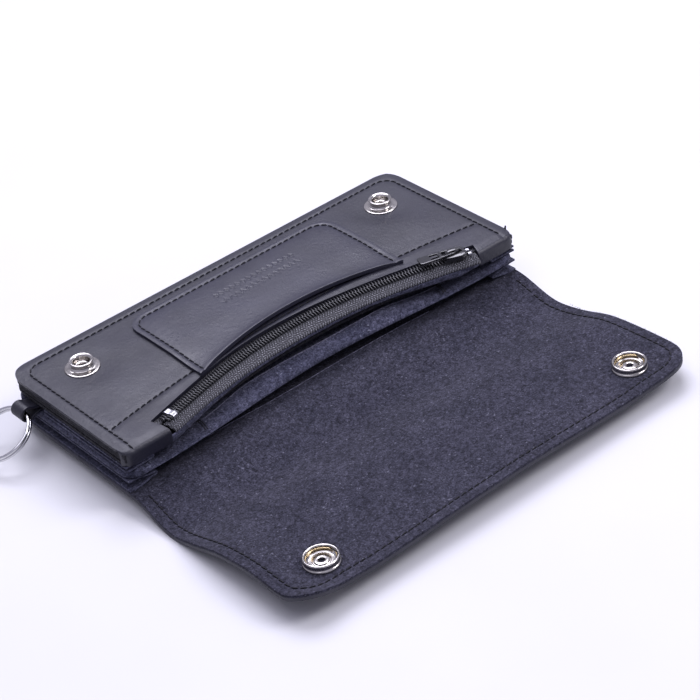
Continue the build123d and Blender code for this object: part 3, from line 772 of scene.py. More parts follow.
STITCH_DEPTH = 0.1          # how deep a seam's line lies in its groove
line = u_line(COVER_SEAM_X, 0.0, FLAP_END - FLAP_SEAM_INSET, FLAP_RADIUS - FLAP_SEAM_INSET)
past_crease = line[:, 1] - (SPINE_MIDDLE - FLAP_CREASE)
flap_s = np.maximum(past_crease, 0)
on_flap = flap_point(line[:, 0], flap_s, flap_wave(line[:, 0], flap_s) - STITCH_DEPTH)
before = on_spine(line[:, 0], SPINE_MIDDLE - line[:, 1], COVER - STITCH_DEPTH)
flap_stitches = seam("flap_stitches", [np.where((past_crease > 0)[:, None], on_flap, before)], FLAP_UP)
ys = np.arange(SPINE_MIDDLE, CREASE - 0.3, SEAM_STEP)
spine_lines = [on_spine(side * COVER_SEAM_X, ys, COVER - STITCH_DEPTH) for side in (-1, 1)]
spine_stitches = seam("spine_stitches", spine_lines)

REAR_CREASE = ("body", "spine", CREASE)
FRONT_CREASE = ("spine", "flap", FLAP_CREASE)
over_crease(lining_back, *REAR_CREASE, "suede_lining", "back_lining", "spine_lining")
over_crease(cover_back, *REAR_CREASE, "grain_leather", "cover_back", "spine_cover")
over_crease(spine_stitches, *REAR_CREASE, "thread", "spine_thread")
over_crease(lining_flap, *FRONT_CREASE, "suede_lining", "flap_lining")
over_crease(cover_flap, *FRONT_CREASE, "grain_leather", "flap_cover")
over_crease(flap_stitches, *FRONT_CREASE, "thread", "flap_thread")


# ---- divider, its turned edge and the gussets ---------------------------------------------
DIVIDER_RADIUS = 6.0
GUSSET_DEPTH = 12.0
TICK_X = 57.0               # where the mouths are tacked down
ROLL_TOP = 10.9             # top of the divider's rolled sides
EYE = pivot("ring_swing")


def divider_front(x):
    return -1.0 + 5.2 * smooth(1 - np.abs(x) / 80)


def plain_panel(front, front_radius, z_low, z_high, rear_inset, side_inset):
    """Flat panel with a curved front edge and round rear corners."""
    half = HALF - side_inset
    x = columns(half, EDGE, 3.0)[None, :]
    near_end = np.array((0, 0.01, 0.03, 0.07))
    v = np.concatenate([near_end, np.linspace(0.12, 0.88, 16), (1 - near_end)[::-1]])[:, None]
    y0 = front(x) + corner_drop(x, half, front_radius)
    y1 = REAR - rear_inset - corner_drop(x, half, REAR_RADIUS - rear_inset)
    y = y0 + (y1 - y0) * v
    return [np.stack(np.broadcast_arrays(x, y, z), -1) for z in (z_high, z_low)]


divider = make("divider_sheet", *slab(*plain_panel(lambda x: divider_front(x) + 0.8, DIVIDER_RADIUS,
               DIVIDER_LOW, DIVIDER_TOP, 0.3, 0.4)), NAVY, bevel=0.25)
fasten(divider, "body", "split_leather", "divider")


def front_path():
    """Plan path down the left side, along the front and up the right side, with normals."""
    side_y = np.arange(REAR - REAR_RADIUS, DIVIDER_RADIUS + 0.5, -3.0)
    points = [(-HALF, y) for y in side_y]
    inward = [(1.0, 0.0)] * len(side_y)

    def corner(sign, start):
        for t in np.linspace(start, start + pi / 2, 13):
            points.append((sign * (HALF - DIVIDER_RADIUS) + DIVIDER_RADIUS * cos(t),
                           divider_front(HALF) + DIVIDER_RADIUS * (1 + sin(t))))
            inward.append((-cos(t), -sin(t)))

    corner(-1, pi)
    inner = HALF - DIVIDER_RADIUS
    by_tacks = [side * (TICK_X + d) for side in (-1, 1) for d in (-0.8, 0.0, 0.8)]
    for x in spaced(np.arange(-inner + 1.5, inner - 1, 2.0), *by_tacks):
        points.append((x, divider_front(x)))
        inward.append((0.0, 1.0))
    corner(1, 1.5 * pi)
    side_y = np.arange(DIVIDER_RADIUS + 0.5, REAR - REAR_RADIUS, 3.0)
    points += [(HALF, y) for y in side_y]
    inward += [(-1.0, 0.0)] * len(side_y)
    return np.array(points), np.array(inward)


def turned_edge():
    """The divider's leather turned over its own edge: a roll round the sides, an open lip in front."""
    points, inward = front_path()
    x, y = points[:, 0], points[:, 1]
    at_front = smooth((HALF - 4 - np.abs(x)) / 12) * (y < DIVIDER_RADIUS)
    tack = bump(np.abs(x) - TICK_X, 1.3)
    open_mouth = smooth((TICK_X + 1 - np.abs(x)) / 38) * at_front
    rise = ROLL_TOP - 1.7 * at_front + 2.4 * open_mouth - 0.5 * tack * at_front
    rise = rise + 0.25 * ripple(x, 0 * x, 17.0, 8.0) * at_front
    reach = 14.6 + 2.3 * smooth((90 - np.abs(x)) / 30) + 4.3 * smooth((57 - np.abs(x)) / 28)
    reach += 0.9 * bump(x + 22, 18)
    rise = rise - 1.0 * smooth((5.5 - np.abs(y - EYE[1])) / 2) * (x < 0)
    width = 3.0 * (1 - at_front) + at_front * (reach - rise - divider_front(x))
    nose = DIVIDER_LOW + 0.55
    rows = []
    for k in np.linspace(0, 1, 13):
        d = 2 * k * (1 - k) * (-0.3 + 0.9 * open_mouth) + k * k * width
        z = (1 - k) ** 2 * nose + 2 * k * (1 - k) * (rise - 0.4 - 0.5 * open_mouth) + k * k * rise
        rows.append(np.stack([x + inward[:, 0] * d, y + inward[:, 1] * d, z], -1))
    return np.array(rows)


roll = turned_edge()
fasten(make("divider_turned_edge", *slab(roll, thick(roll, 0.9)), NAVY, bevel=0.2), "body", "split_leather")


def pale_edge_and_highlight(name, path, radius):
    """Paler, slightly rough line along the leather's cut edge: partly the paler fibres of the cut, partly a
    painted highlight where the edge catches the light.
    """
    rough = radius * (1 + 0.25 * ripple(path[:, 0], path[:, 1], 3.0, 5.0))
    fasten(make_tube(name, path, rough, PALE_EDGE_AND_HIGHLIGHT), "body", "split_leather")


free_edge = roll[-1]
in_front = (free_edge[:, 1] < 24) & (np.abs(free_edge[:, 0]) < HALF - 4.5)
# painted highlights along the free edges of the divider's turned edge and of the lining
pale_edge_and_highlight("divider_pale_edge_and_highlight", free_edge[in_front] - np.array((0, 0.1, 0.12)), 0.3)
xs = np.arange(-54.0, 52.0, 1.5)
ys = lip_line(xs)
pale_edge_and_highlight("lining_pale_edge_and_highlight", np.stack([xs, ys, lining_height(xs, ys - 0.05)], -1), 0.2)

tacks = Parts()
for side in (-1, 1):
    for dx in (-0.5, 0.4):
        t = np.linspace(0, 1, 6)[:, None]
        start = np.array((side * TICK_X + dx, divider_front(TICK_X) + 1.0, DIVIDER_TOP + 1.2))
        end = np.array((side * TICK_X + dx + 0.5, divider_front(TICK_X) + 6.6, DIVIDER_TOP + 1.9))
        arch = np.array((0, 0, 0.5)) * (t * (1 - t) * 4)
        tacks.add(*tube(start + (end - start) * t + arch, 0.24))
fasten(tacks.make("mouth_tacks", THREAD), "body", "thread")


def rear_path():
    """Matching outer and inner plan paths round the left side, the rear and the right side."""
    paths = []
    for inset, radius in ((0.0, REAR_RADIUS), (GUSSET_DEPTH, 4.0)):
        half, rear = HALF - inset, REAR - inset
        left = [(-half, y) for y in np.linspace(0.2, rear - radius, 24)]
        left += [(-half + radius * (1 + cos(t)), rear - radius * (1 - sin(t)))
                 for t in np.linspace(pi, pi / 2, 13)[1:-1]]
        middle = [(x, rear) for x in np.linspace(-half + radius, half - radius, 60)]
        paths.append(np.array(left + middle + [(-x, y) for x, y in reversed(left)]))
    return paths


OUTER_PATH, INNER_PATH = rear_path()
CORNER_LEFT = 29
CORNER_RIGHT = len(OUTER_PATH) - 1 - CORNER_LEFT


def gusset(level, side, z_low, z_high, first, last, seed):
    """One folded-in strip between two leaves; its section runs from leaf to fold to leaf."""
    middle = (z_low + z_high) / 2
    gap = (z_high - z_low) / 2
    upper = [(0.975, 0.4), (0.92, 0.58), (0.72, 0.28 * gap + 0.2), (0.4, gap - 0.6), (0.2, gap - 0.44),
             (0.0, gap - 0.42)]
    section = [(f, -z) for f, z in reversed(upper)] + [(1.0, 0.0)] + upper
    outer, inner = OUTER_PATH[first:last], INNER_PATH[first:last]
    sag = 0.25 * ripple(outer[:, 0], outer[:, 1], 21.0, seed)
    rows = []
    for f, z in section:
        plan = outer + (inner - outer) * (f * 0.995 + 0.004)
        rows.append(np.stack([plan[:, 0], plan[:, 1], middle + z + sag * 4 * f * (1 - f)], -1))
    rows = np.array(rows)
    n = normals(rows)
    piece = make(f"gusset_{level}_{side}", *slab(rows + n * 0.36, rows - n * 0.36), NAVY,
                 bevel=0.12, sharp=60)
    fasten(piece, "body", "split_leather", f"{level}_gusset_{side}")


# the upper left gusset stops short of the ring's tab
tab_gap = int(np.argmin(np.abs(OUTER_PATH[:24, 1] - high("upper_gusset_left")[1])))
levels = (("lower", COVER, DIVIDER_LOW, CORNER_LEFT, 1.0), ("upper", ROLL_TOP + 0.1, BASE_LOW, tab_gap, 4.0))
for level, z_low, z_high, left_end, seed in levels:
    gusset(level, "left", z_low, z_high, 0, left_end + 1, seed)
    gusset(level, "rear", z_low, z_high, CORNER_LEFT, CORNER_RIGHT + 1, seed + 1)
    gusset(level, "right", z_low, z_high, CORNER_RIGHT, len(OUTER_PATH), seed + 2)


def edge_strip(name, z_low, z_high, inset, width, seed, mat, first=0, last=None):
    """Strip of leather following the sides and rear, its raw edge a little uneven."""
    outer, inner = OUTER_PATH[first:last], INNER_PATH[first:last]
    direction = (inner - outer) / np.linalg.norm(inner - outer, axis=1, keepdims=True)
    wander = inset + 0.18 * ripple(outer[:, 0], outer[:, 1], 5.0, seed)
    lift = 0.12 * ripple(outer[:, 0], outer[:, 1], 16.0, seed + 3)
    raw = outer + direction * wander[:, None]
    sheets = []
    for z in (z_high, z_low):
        sheets.append(np.array([np.column_stack([raw + direction * (width - inset) * k, z + lift * (1 - k)])
                                for k in (0.0, 0.5, 1.0)]))
    fasten(make(name, *slab(*sheets), mat, bevel=0.3), "body", "split_leather")


# past the end of its rolled sides, the divider's edge shows as a band along the rear
ROLL_END = 25
edge_strip("divider_rear_band", DIVIDER_TOP + 0.05, ROLL_TOP, 0.25, 5.0, 7.0, NAVY, ROLL_END,
           len(OUTER_PATH) - ROLL_END)

# ---- zip pocket: base, pressed side layers, top panel -----------------------------------------
PANEL_LOW = TOP - PANEL


def pocket_front(x):
    """Y of the pocket's front face: an arc between two straight ends."""
    return np.maximum(FRONT, zip_y(x, STRIP_Q))


base = make("pocket_base", *slab(*plain_panel(lambda x: pocket_front(x) + PANEL + 0.2, 0.5, BASE_LOW,
            BASE_LOW + 1.2, 0.3, 0.3)), EDGES, bevel=0.25)
fasten(base, "body", "split_leather", "zip_pocket_base")
edge_strip("pocket_side_lower", BASE_LOW + 1.25, BASE_LOW + 3.05, 0.55, 5.5, 1.5, EDGES)
edge_strip("pocket_side_upper", BASE_LOW + 3.15, PANEL_LOW - 0.02, 0.25, 5.5, 2.5, EDGES)


def zip_seam_y(x):
    return ZIP_SEAM_APEX - (x - PATCH_X) ** 2 / ZIP_SEAM_BOW


def slot_rear(x):
    """Y of the slot's rear edge, nearer to the coil on the right than on the left."""
    along = zip_s(np.clip(x, SLOT_LEFT, SLOT_RIGHT))
    q = 2.9 + 1.0 * bump(along + 28, 30) - 0.5 * smooth((along + 5) / 40)
    return zip_y(np.clip(x, SLOT_LEFT - 3, SLOT_RIGHT + 3), q)


def panel_height(x, y):
    """Height of the top panel: a soft swell between the seams, a roll towards the front."""
    side = np.minimum(HALF - np.abs(x), REAR - y)
    behind = y - zip_seam_y(x)
    swell = 0.75 * smooth((side - SEAM_INSET) / 20) * smooth(behind / 16)
    swell += 0.05 * ripple(x, y, 26.0, 1.0) * smooth((side - SEAM_INSET) / 8)
    for stud in STUDS:
        swell *= smooth((np.hypot(x - stud[0], y - stud[1]) - 7.0) / 10.0)
    d_side = rounded_distance(x, y, HALF - SEAM_INSET, REAR - SEAM_INSET, REAR_RADIUS - 2.0)
    groove = 0.26 * bump(d_side, 0.6)
    d_zip = np.where(np.abs(x) < HALF - SEAM_INSET, behind, 9.0)
    groove = np.maximum(groove, 0.24 * bump(d_zip, 0.6))
    ahead = smooth((4.5 - (y - pocket_front(x))) / 4.5) * smooth((np.abs(x) - 60) / 10)
    strip = 0.25 * bump(behind + 2.4, 1.6) * smooth((70 - np.abs(x)) / 10)
    rim = 0.55 * smooth((SEAM_INSET - 0.6 - side) / SEAM_INSET) ** 1.3
    return TOP + swell - groove - 0.75 * ahead + strip - rim


def top_panel():
    """Grid of the pocket's top from its rear edge to the foot of its front face, and what isn't slot."""
    x = spaced(np.array(EDGE) - HALF, HALF - np.array(EDGE), np.arange(12.0 - HALF, SLOT_LEFT - 0.8, 1.4),
               SLOT_LEFT + np.array((0.0, 0.5, 1.2)), np.arange(SLOT_LEFT + 2.5, SLOT_RIGHT - 2.0, 2.0),
               SLOT_RIGHT - np.array((1.2, 0.5, 0.0)),
               np.arange(SLOT_RIGHT + 1.2, HALF - 12.0, 1.4))[None, :]
    y_rear = REAR - corner_drop(x, HALF, REAR_RADIUS)
    y_seam, y_slot = zip_seam_y(x), slot_rear(x)
    y_front = pocket_front(x) + corner_drop(x, HALF, 3.2)
    span = y_rear - y_seam
    rows = [y_rear - inset * span / (REAR - ZIP_SEAM_APEX) for inset in EDGE[:-1]]
    rows += [y_rear - t * span for t in np.linspace(0.2, 0.94, 18)]
    rows += [y_seam + d for d in (1.2, 0.6, 0.3, 0.0, -0.3, -0.6)]
    rows += [y_seam - 0.6 - t * (y_seam - 0.6 - y_slot) for t in (0.3, 0.5, 0.7, 0.85, 0.95, 1.0)]
    slot_row = len(rows) - 1
    rows += [y_slot - t * (y_slot - y_front - FOLD_RADIUS) for t in (0.1, 0.25, 0.4, 0.55, 0.7, 0.85, 1.0)]
    y = np.array([r + 0 * x for r in rows])[:, 0, :]
    xx = x + 0 * y
    upper = np.stack([xx, y, panel_height(xx, y)], -1)
    edge = upper[-1]
    fold = []
    for t in np.linspace(0, pi / 2, 7)[1:]:
        drop = FOLD_RADIUS * (1 - cos(t))
        fold.append(np.stack([edge[:, 0], edge[:, 1] - FOLD_RADIUS * sin(t), edge[:, 2] - drop], -1))
    for z in (16.5, 15.4, 14.5, BASE_LOW):
        fold.append(np.stack([edge[:, 0], fold[5][:, 1], z + 0 * edge[:, 0]], -1))
    grid = np.concatenate([upper, np.array(fold)])
    # the ends of the slot are square to the zip
    lean = np.clip(zip_y(grid[..., 0], 0) - grid[..., 1], -3, 8) * (grid[..., 0] - ZIP_X) / R_ZIP
    near_slot = smooth((HALF - 4 - np.abs(grid[..., 0])) / 8)
    reach = np.ones(len(grid))
    reach[:slot_row + 1] = smooth((np.arange(slot_row + 1) - slot_row + 6) / 6)
    grid[..., 0] -= lean * near_slot * reach[:, None]
    keep = np.ones((grid.shape[0] - 1, grid.shape[1] - 1), bool)
    centre = (x[0, 1:] + x[0, :-1]) / 2
    in_slot = (centre > SLOT_LEFT) & (centre < SLOT_RIGHT)
    keep[slot_row:, in_slot] = False
    return grid, keep


panel_grid, panel_keep = top_panel()
panel = make("pocket_top_panel", *slab(panel_grid, thick(panel_grid, PANEL), panel_keep), LEATHER,
             bevel=0.32, segments=3)
fasten(panel, "body", "grain_leather", "zip_pocket_top")


def strip_shape(x):
    """0 at the ends of the zip and 1 along its middle."""
    return smooth((70 - np.abs(x - ZIP_X)) / 45)


TAPE_EDGE = 17.2            # front edge of the front tape at the ends of the zip
TAPE_EDGE_RISE = 0.65


def front_strip():
    """Raw edge of the pocket's lower leather, just below the front tape and turned in under it."""
    x = np.linspace(SLOT_LEFT + 0.5, SLOT_RIGHT - 1.0, 90)
    middle = strip_shape(x)
    y = pocket_front(x) + 0.1
    top = TAPE_EDGE - 0.62 + TAPE_EDGE_RISE * middle
    bottom = BASE_LOW + 0.1 + 2.4 * middle + 0.12 * ripple(x, 0 * x, 9.0, 4.0)
    rows = []
    for t, inward in ((0.0, 0.5), (0.12, 0.0), (0.5, 0.0), (0.88, 0.0), (1.0, 0.35)):
        rows.append(np.stack([x, y + inward, top + (bottom - top) * t], -1))
    for drop, inward in ((0.15, 1.0), (0.4, 1.6), (1.2, 1.8)):
        rows.append(np.stack([x, y + inward, np.maximum(bottom - drop * middle, BASE_LOW + 0.05)], -1))
    rows = np.array(rows)
    n = normals(rows)
    n *= -np.sign(n[..., 1].mean())
    back = rows - n * 0.5
    back[..., 2] = np.maximum(back[..., 2], BASE_LOW + 0.03)
    return rows, back


fasten(make("pocket_front_edge", *slab(*front_strip()), NAVY, bevel=0.2), "body", "split_leather")


def on_panel(x, y):
    """Seam line on the top panel, just above the bottom of its groove."""
    return np.column_stack([x, y, panel_height(x, y) + 0.12])


line = u_line(HALF - SEAM_INSET, 0.4, REAR - SEAM_INSET, REAR_RADIUS - 2.0)
fasten(seam("panel_stitches", [on_panel(line[:, 0], line[:, 1])]), "body", "thread", "top_thread")
seam_end = HALF - SEAM_INSET - 0.6
runs = [np.arange(a, b, SEAM_STEP)
        for a, b in ((-seam_end, PATCH_LEFT + 2.0), (-22.0, 26.0), (PATCH_RIGHT - 2.0, seam_end))]
fasten(seam("zip_seam_stitches", [on_panel(xs, zip_seam_y(xs)) for xs in runs]), "body", "thread",
       "zip_thread_left", "zip_thread_middle", "zip_thread_right")

# ---- slip pocket with its tooled border --------------------------------------------------------
PATCH_THICK = 1.2
TOOL_X = (-14.0, 25.0)      # ends of the pressed border
TOOL_ROWS = (51.0, 45.6)    # its lozenges and its zigzag
TOOL_PITCH = 2.6
PATCH_SEAM_HALF = PATCH_HALF - PATCH_SEAM_INSET
PATCH_SEAM_REAR = PATCH_REAR - PATCH_SEAM_INSET
PATCH_SEAM_RADIUS = PATCH_RADIUS - PATCH_SEAM_INSET


def tooling(x, y):
    """Pressed ornament: a row of lozenges over a row of zigzag, no lettering."""
    inside = smooth((x - TOOL_X[0]) / 0.8) * smooth((TOOL_X[1] - x) / 0.8)
    dx = np.abs((x - TOOL_X[0]) % TOOL_PITCH - TOOL_PITCH / 2)
    lozenge = dx + np.abs(y - TOOL_ROWS[0]) / 1.7
    first = smooth((0.25 - np.abs(lozenge - 0.8)) / 0.2) + smooth((0.28 - lozenge) / 0.15)
    zig = dx * 2.2 - 1.4
    dy = y - TOOL_ROWS[1]
    second = smooth((0.45 - np.abs(dy - zig)) / 0.35) * (np.abs(dy) < 1.7)
    return 0.34 * inside * (first + second)


def patch_front(x):
    return PATCH_CORNER + PATCH_FRONT_RISE * (1 - ((x - PATCH_X) / PATCH_HALF) ** 2)


def patch_lift(x, y):
    """How far the open front edge stands off the panel."""
    across = 1 - ((x - PATCH_X) / (PATCH_HALF - 4)) ** 2
    return 1.15 * np.clip(across, 0, 1) ** 0.8 * np.exp(-np.maximum(y - patch_front(x), 0) / 7.0)


def under_patch(x, y):
    """Height of the panel under the slip pocket."""
    behind_seam = smooth((y - zip_seam_y(x) - 0.5) / 3.0)
    return np.maximum(TOP + (panel_height(x, y) - TOP) * behind_seam, TOP)


def patch_sheets():
    """Upper and lower grid of the slip pocket, fine where it is pressed."""
    rim_rows = np.array((0, 0.35, 0.8, 1.4, 2.0, 2.6, 3.2, 4.2))
    side = np.concatenate([rim_rows, (5.6, 7.4, 9.0)])
    tool_start, tool_end = TOOL_X[0] - PATCH_X - 1, TOOL_X[1] - PATCH_X + 1
    x = spaced(side - PATCH_HALF, np.arange(11.0 - PATCH_HALF, tool_start, 2.0),
               np.arange(tool_start, tool_end, 0.32), np.arange(tool_end, PATCH_HALF - 10.0, 2.0),
               PATCH_HALF - side)[None, :] + PATCH_X
    rear = PATCH_REAR - corner_drop(x - PATCH_X, PATCH_HALF, PATCH_RADIUS)
    front = patch_front(x)
    height = PATCH_REAR - PATCH_CORNER - PATCH_FRONT_RISE
    first_row, last_row = PATCH_REAR - TOOL_ROWS[0], PATCH_REAR - TOOL_ROWS[1]
    d = spaced(rim_rows, (6.0, 8.0, 9.6), np.arange(first_row - 3.2, last_row + 3.0, 0.32),
               np.arange(last_row + 4.2, height - 3.0, 1.8),
               height - np.array((2.4, 1.6, 1.0, 0.5, 0.0)))[:, None]
    flat = smooth((d - 30.0) / (height - 30.0))
    y = (rear - d) * (1 - flat) + (front + (height - d)) * flat
    xx = x + 0 * y
    floor = under_patch(xx, y) + 0.03
    lift = patch_lift(xx, y)
    d_seam = rounded_distance(xx - PATCH_X, y, PATCH_SEAM_HALF, PATCH_SEAM_REAR, PATCH_SEAM_RADIUS)
    groove = 0.30 * bump(d_seam, 0.6)
    rim = 0.22 * bump(y - front - 0.6, 0.9) + 0.12 * bump(d_seam - 1.4, 0.8)
    pillow = 0.28 * smooth(-d_seam / 6.0)
    upper = floor + PATCH_THICK + lift - groove + rim + pillow - tooling(xx, y)
    lower = floor + lift * 0.98
    return np.stack([xx, y, upper], -1), np.stack([xx, y, lower], -1)


patch = make("slip_pocket_leather", *slab(*patch_sheets()), PATCH_LEATHER, bevel=0.33, segments=3, sharp=55)
fasten(patch, "body", "grain_leather", "slip_pocket")
line = u_line(PATCH_SEAM_HALF, PATCH_CORNER + 1.6, PATCH_SEAM_REAR, PATCH_SEAM_RADIUS, centre=PATCH_X)
x, y = line[:, 0], line[:, 1]
line = np.column_stack([line, under_patch(x, y) + PATCH_THICK + patch_lift(x, y) - 0.15])
fasten(seam("slip_pocket_stitches", [line]), "body", "thread", "slip_pocket_thread")


# ---- zip: tapes, coils and stops ----------------------------------------------------------------
TAPE_THICK = 0.6
TAPE_GAP = 0.5              # each tape ends short of the middle of the coils


def front_tape_top(x, q):
    fall = TAPE_EDGE + TAPE_EDGE_RISE * strip_shape(x) - TAPE_TOP
    return TAPE_TOP + fall * np.clip((-q - 2.3) / 3.7, 0, 1) ** 1.15


def tape(name, node, q_range, s_range, top_of):
    s = np.arange(s_range[0], s_range[1] + 0.1, 1.6)[None, :]
    q = np.linspace(*q_range, 17)[:, None]
    wander = 0.12 * ripple(s, 0 * s, 6.0, q_range[1]) * (np.abs(q) / np.abs(q_range[1])) ** 3
    points = zip_point(s, q + wander, 0.0)
    points[..., 2] = top_of(points[..., 0], q + 0 * s)
    top, under = points, points - np.array((0, 0, TAPE_THICK))
    uv = np.stack(np.broadcast_arrays(s, q), -1).reshape(-1, 2)
    fasten(make(name, *slab(top, under), TAPE, uv=np.concatenate([uv, uv])), "body", "zip_tape", node)


tape("tape_rear", "zip_tape_rear", (TAPE_GAP, 9.0), (-76.0, 83.0),
     lambda x, q: TAPE_TOP - 0.45 * smooth((q - 2.6) / 1.5))
tape("tape_front", "zip_tape_front", (-TAPE_GAP, -6.0),
     (zip_s(SLOT_LEFT) + 2.2, zip_s(SLOT_RIGHT) + 0.4), front_tape_top)

COIL_PITCH = 1.25
COIL_WIRE = 0.29
COIL_TOP = low("zip_top_stops")[2] + 1.45


def coil(name, node, side, start, end):
    """One spiral of nylon wire; its heads reach past the middle between those of the other."""
    turns = np.arange(0, (end - start) / COIL_PITCH, 1 / 14)
    angle = 2 * pi * turns
    s = start + COIL_PITCH * (turns + 0.16 * np.sin(angle) + (0.5 if side > 0 else 0.0))
    q = side * (0.92 - 1.28 * np.sign(np.cos(angle)) * np.abs(np.cos(angle)) ** 0.8)
    z = COIL_TOP - COIL_WIRE - 0.42 + 0.42 * np.sin(angle)
    fasten(make_tube(name, zip_point(s, q, z), COIL_WIRE, COIL), "body", "zip_coil", node)


coil("coil_rear", "zip_teeth_rear", 1, -69.4, 75.4)
coil("coil_front", "zip_teeth_front", -1, -68.2, 75.4)


def zip_bar(section, s_start, s_end, steps=5):
    """Closed bar with a (q, z) section, following the zip."""
    outline = np.array(section)
    rows = np.array([zip_point(np.full(len(outline), s), outline[:, 0], outline[:, 1])
                     for s in np.linspace(s_start, s_end, steps)])
    return rows.reshape(-1, 3), capped_tube_faces(steps, len(outline))


STOP_S = -64.7              # middle of the bottom stop
STOP_HALF = 1.25
section = rounded([(-2.7, TAPE_TOP), (-2.55, 19.9), (-1.5, 20.55), (0.2, 20.35), (1.7, 20.6), (2.6, 19.9),
                   (2.7, TAPE_TOP)], (0.1, 0.4, 0.4, 0.5, 0.4, 0.4, 0.1))
stop = make("bottom_stop", *zip_bar(section, STOP_S - STOP_HALF, STOP_S + STOP_HALF), BRIGHT,
            bevel=0.18, sharp=50)
fasten(stop, "body", "stop_metal", "zip_bottom_stop")
tops = Parts()
for side in (-1, 1):
    section = rounded([(side * 0.55, TAPE_TOP), (side * 0.6, 19.8), (side * 1.3, 20.1), (side * 2.1, 19.8),
                       (side * 2.2, TAPE_TOP)], 0.25)
    tops.add(*zip_bar(section, 75.9, 77.4))
fasten(tops.make("top_stops", BRIGHT, bevel=0.12, sharp=50), "body", "stop_metal", "zip_top_stops")

# ---- slider and puller ---------------------------------------------------------------------------
ZIP_ANGLE = atan2(PULLER[0] - ZIP_X, PULLER[1] - ZIP_Y)
ALONG = np.array((cos(ZIP_ANGLE), -sin(ZIP_ANGLE), 0.0))
ACROSS = np.array((sin(ZIP_ANGLE), cos(ZIP_ANGLE), 0.0))


def at_slider(u, v, z):
    """Point u along the zip and v across it from the puller's pin."""
    u, v, z = np.broadcast_arrays(u, v, z)
    flat = np.array((PULLER[0], PULLER[1], 0.0))
    return flat + u[..., None] * ALONG + v[..., None] * ACROSS + z[..., None] * np.array(UP)


def plate(outline, z_low, z_high, crown=0.0):
    """Flat plate with a (u, v) outline, its middle raised by crown."""
    outline = np.array(outline)
    centre = outline.mean(0)
    rings = []
    for k, z in ((1.0, z_low), (1.0, z_high), (0.8, z_high + 0.5 * crown), (0.45, z_high + 0.9 * crown)):
        ring = centre + (outline - centre) * k
        rings.append(at_slider(ring[:, 0], ring[:, 1], z))
    return np.concatenate(rings), capped_tube_faces(4, len(outline))


def loop_plate(outer, inner, z_low, z_high):
    """Flat plate between an outer and an inner outline with as many points."""
    rings = [at_slider(np.array(o)[:, 0], np.array(o)[:, 1], z)
             for o, z in ((outer, z_low), (outer, z_high), (inner, z_high), (inner, z_low))]
    n = len(outer)
    faces = grid_faces(4, n, around=True)
    faces += [(3 * n + k, k, (k + 1) % n, 3 * n + (k + 1) % n) for k in range(n)]
    return np.concatenate(rings), faces


def strap(path, width, thickness):
    """Flat bent strap; path is (u, z) points of its middle, width its (possibly varying) breadth."""
    path = np.array(path)
    width = np.broadcast_to(width, (len(path),))
    along = np.gradient(path, axis=0)
    along /= np.linalg.norm(along, axis=1, keepdims=True)
    up = np.stack([-along[:, 1], along[:, 0]], -1)
    grids = []
    for side in (0.5, -0.5):
        edge = path + up * side * thickness
        v = np.array((-0.5, -0.3, 0.0, 0.3, 0.5))[None, :] * width[:, None]
        sag = 0.12 * (2 * np.abs(v) / width[:, None]) ** 2 * (side > 0)
        grids.append(at_slider(edge[:, :1] + 0 * v, v, edge[:, 1:] - sag))
    return slab(*grids)


def softened(path):
    """Path with its corners softened and its ends kept."""
    path = np.array(path)
    for _ in range(2):
        path[1:-1] = 0.25 * path[:-2] + 0.5 * path[1:-1] + 0.25 * path[2:]
    return path


body_low = low("zip_slider")[2]
plate_low = high("zip_teeth_rear")[2] + 0.3
plate_high = plate_low + 0.8
outline = rounded([(-4.7, -2.3), (-1.5, -3.1), (2.2, -3.6), (4.3, -2.9), (4.9, -0.9), (4.4, 0.0), (4.9, 0.9),
                   (4.3, 2.9), (2.2, 3.6), (-1.5, 3.1), (-4.7, 2.3)], 0.7)
slider = Parts()
slider.add(*plate(outline, plate_low, plate_high, 0.25))
slider.add(*plate(outline, body_low, body_low + 0.8))
for side in (-1, 1):
    rail = rounded([(-4.4, side * 2.75), (-1.5, side * 2.85), (2.0, side * 3.0), (4.0, side * 2.85),
                    (4.1, side * 3.0), (2.2, side * 3.55), (-1.5, side * 3.1), (-4.5, side * 2.95)], 0.1)
    slider.add(*plate(rail, plate_low - 1.3, plate_low + 0.1))
post = rounded([(2.4, -0.3), (4.0, -0.45), (4.0, 0.45), (2.4, 0.3)], 0.2)
slider.add(*plate(post, body_low + 0.7, plate_low + 0.1))
slider_body = slider.make("slider_body", ENAMEL, bevel=0.22, segments=3, sharp=50)
fasten(slider_body, "slider", "zip_metal", "zip_slider")
crown_top = high("zip_slider")[2]
crown_path = np.array([(-3.3, plate_high - 0.1), (-3.15, plate_high + 0.5), (-2.5, crown_top - 0.72),
                       (-1.4, crown_top - 0.38), (0.0, crown_top - 0.28), (1.4, crown_top - 0.38),
                       (2.5, crown_top - 0.72), (3.15, plate_high + 0.5), (3.3, plate_high - 0.1)])
whole, fine = np.arange(len(crown_path)), np.linspace(0, len(crown_path) - 1, 33)
crown_path = softened(np.stack([np.interp(fine, whole, crown_path[:, k]) for k in (0, 1)], -1))
crown_width = 1.5 + 0.7 * bump(crown_path[:, 0], 1.8)
crown = make("slider_crown", *strap(crown_path, crown_width, 0.55), ENAMEL, bevel=0.16, segments=3)
fasten(crown, "slider", "zip_metal")

PULL_LOW, PULL_HIGH = PULLER[2] - 0.42, PULLER[2] + 0.42


def box_outline(u0, u1, half0, half1, radius):
    return rounded([(u0, -half0), (u1, -half1), (u1, half1), (u0, half0)], radius, steps=6)


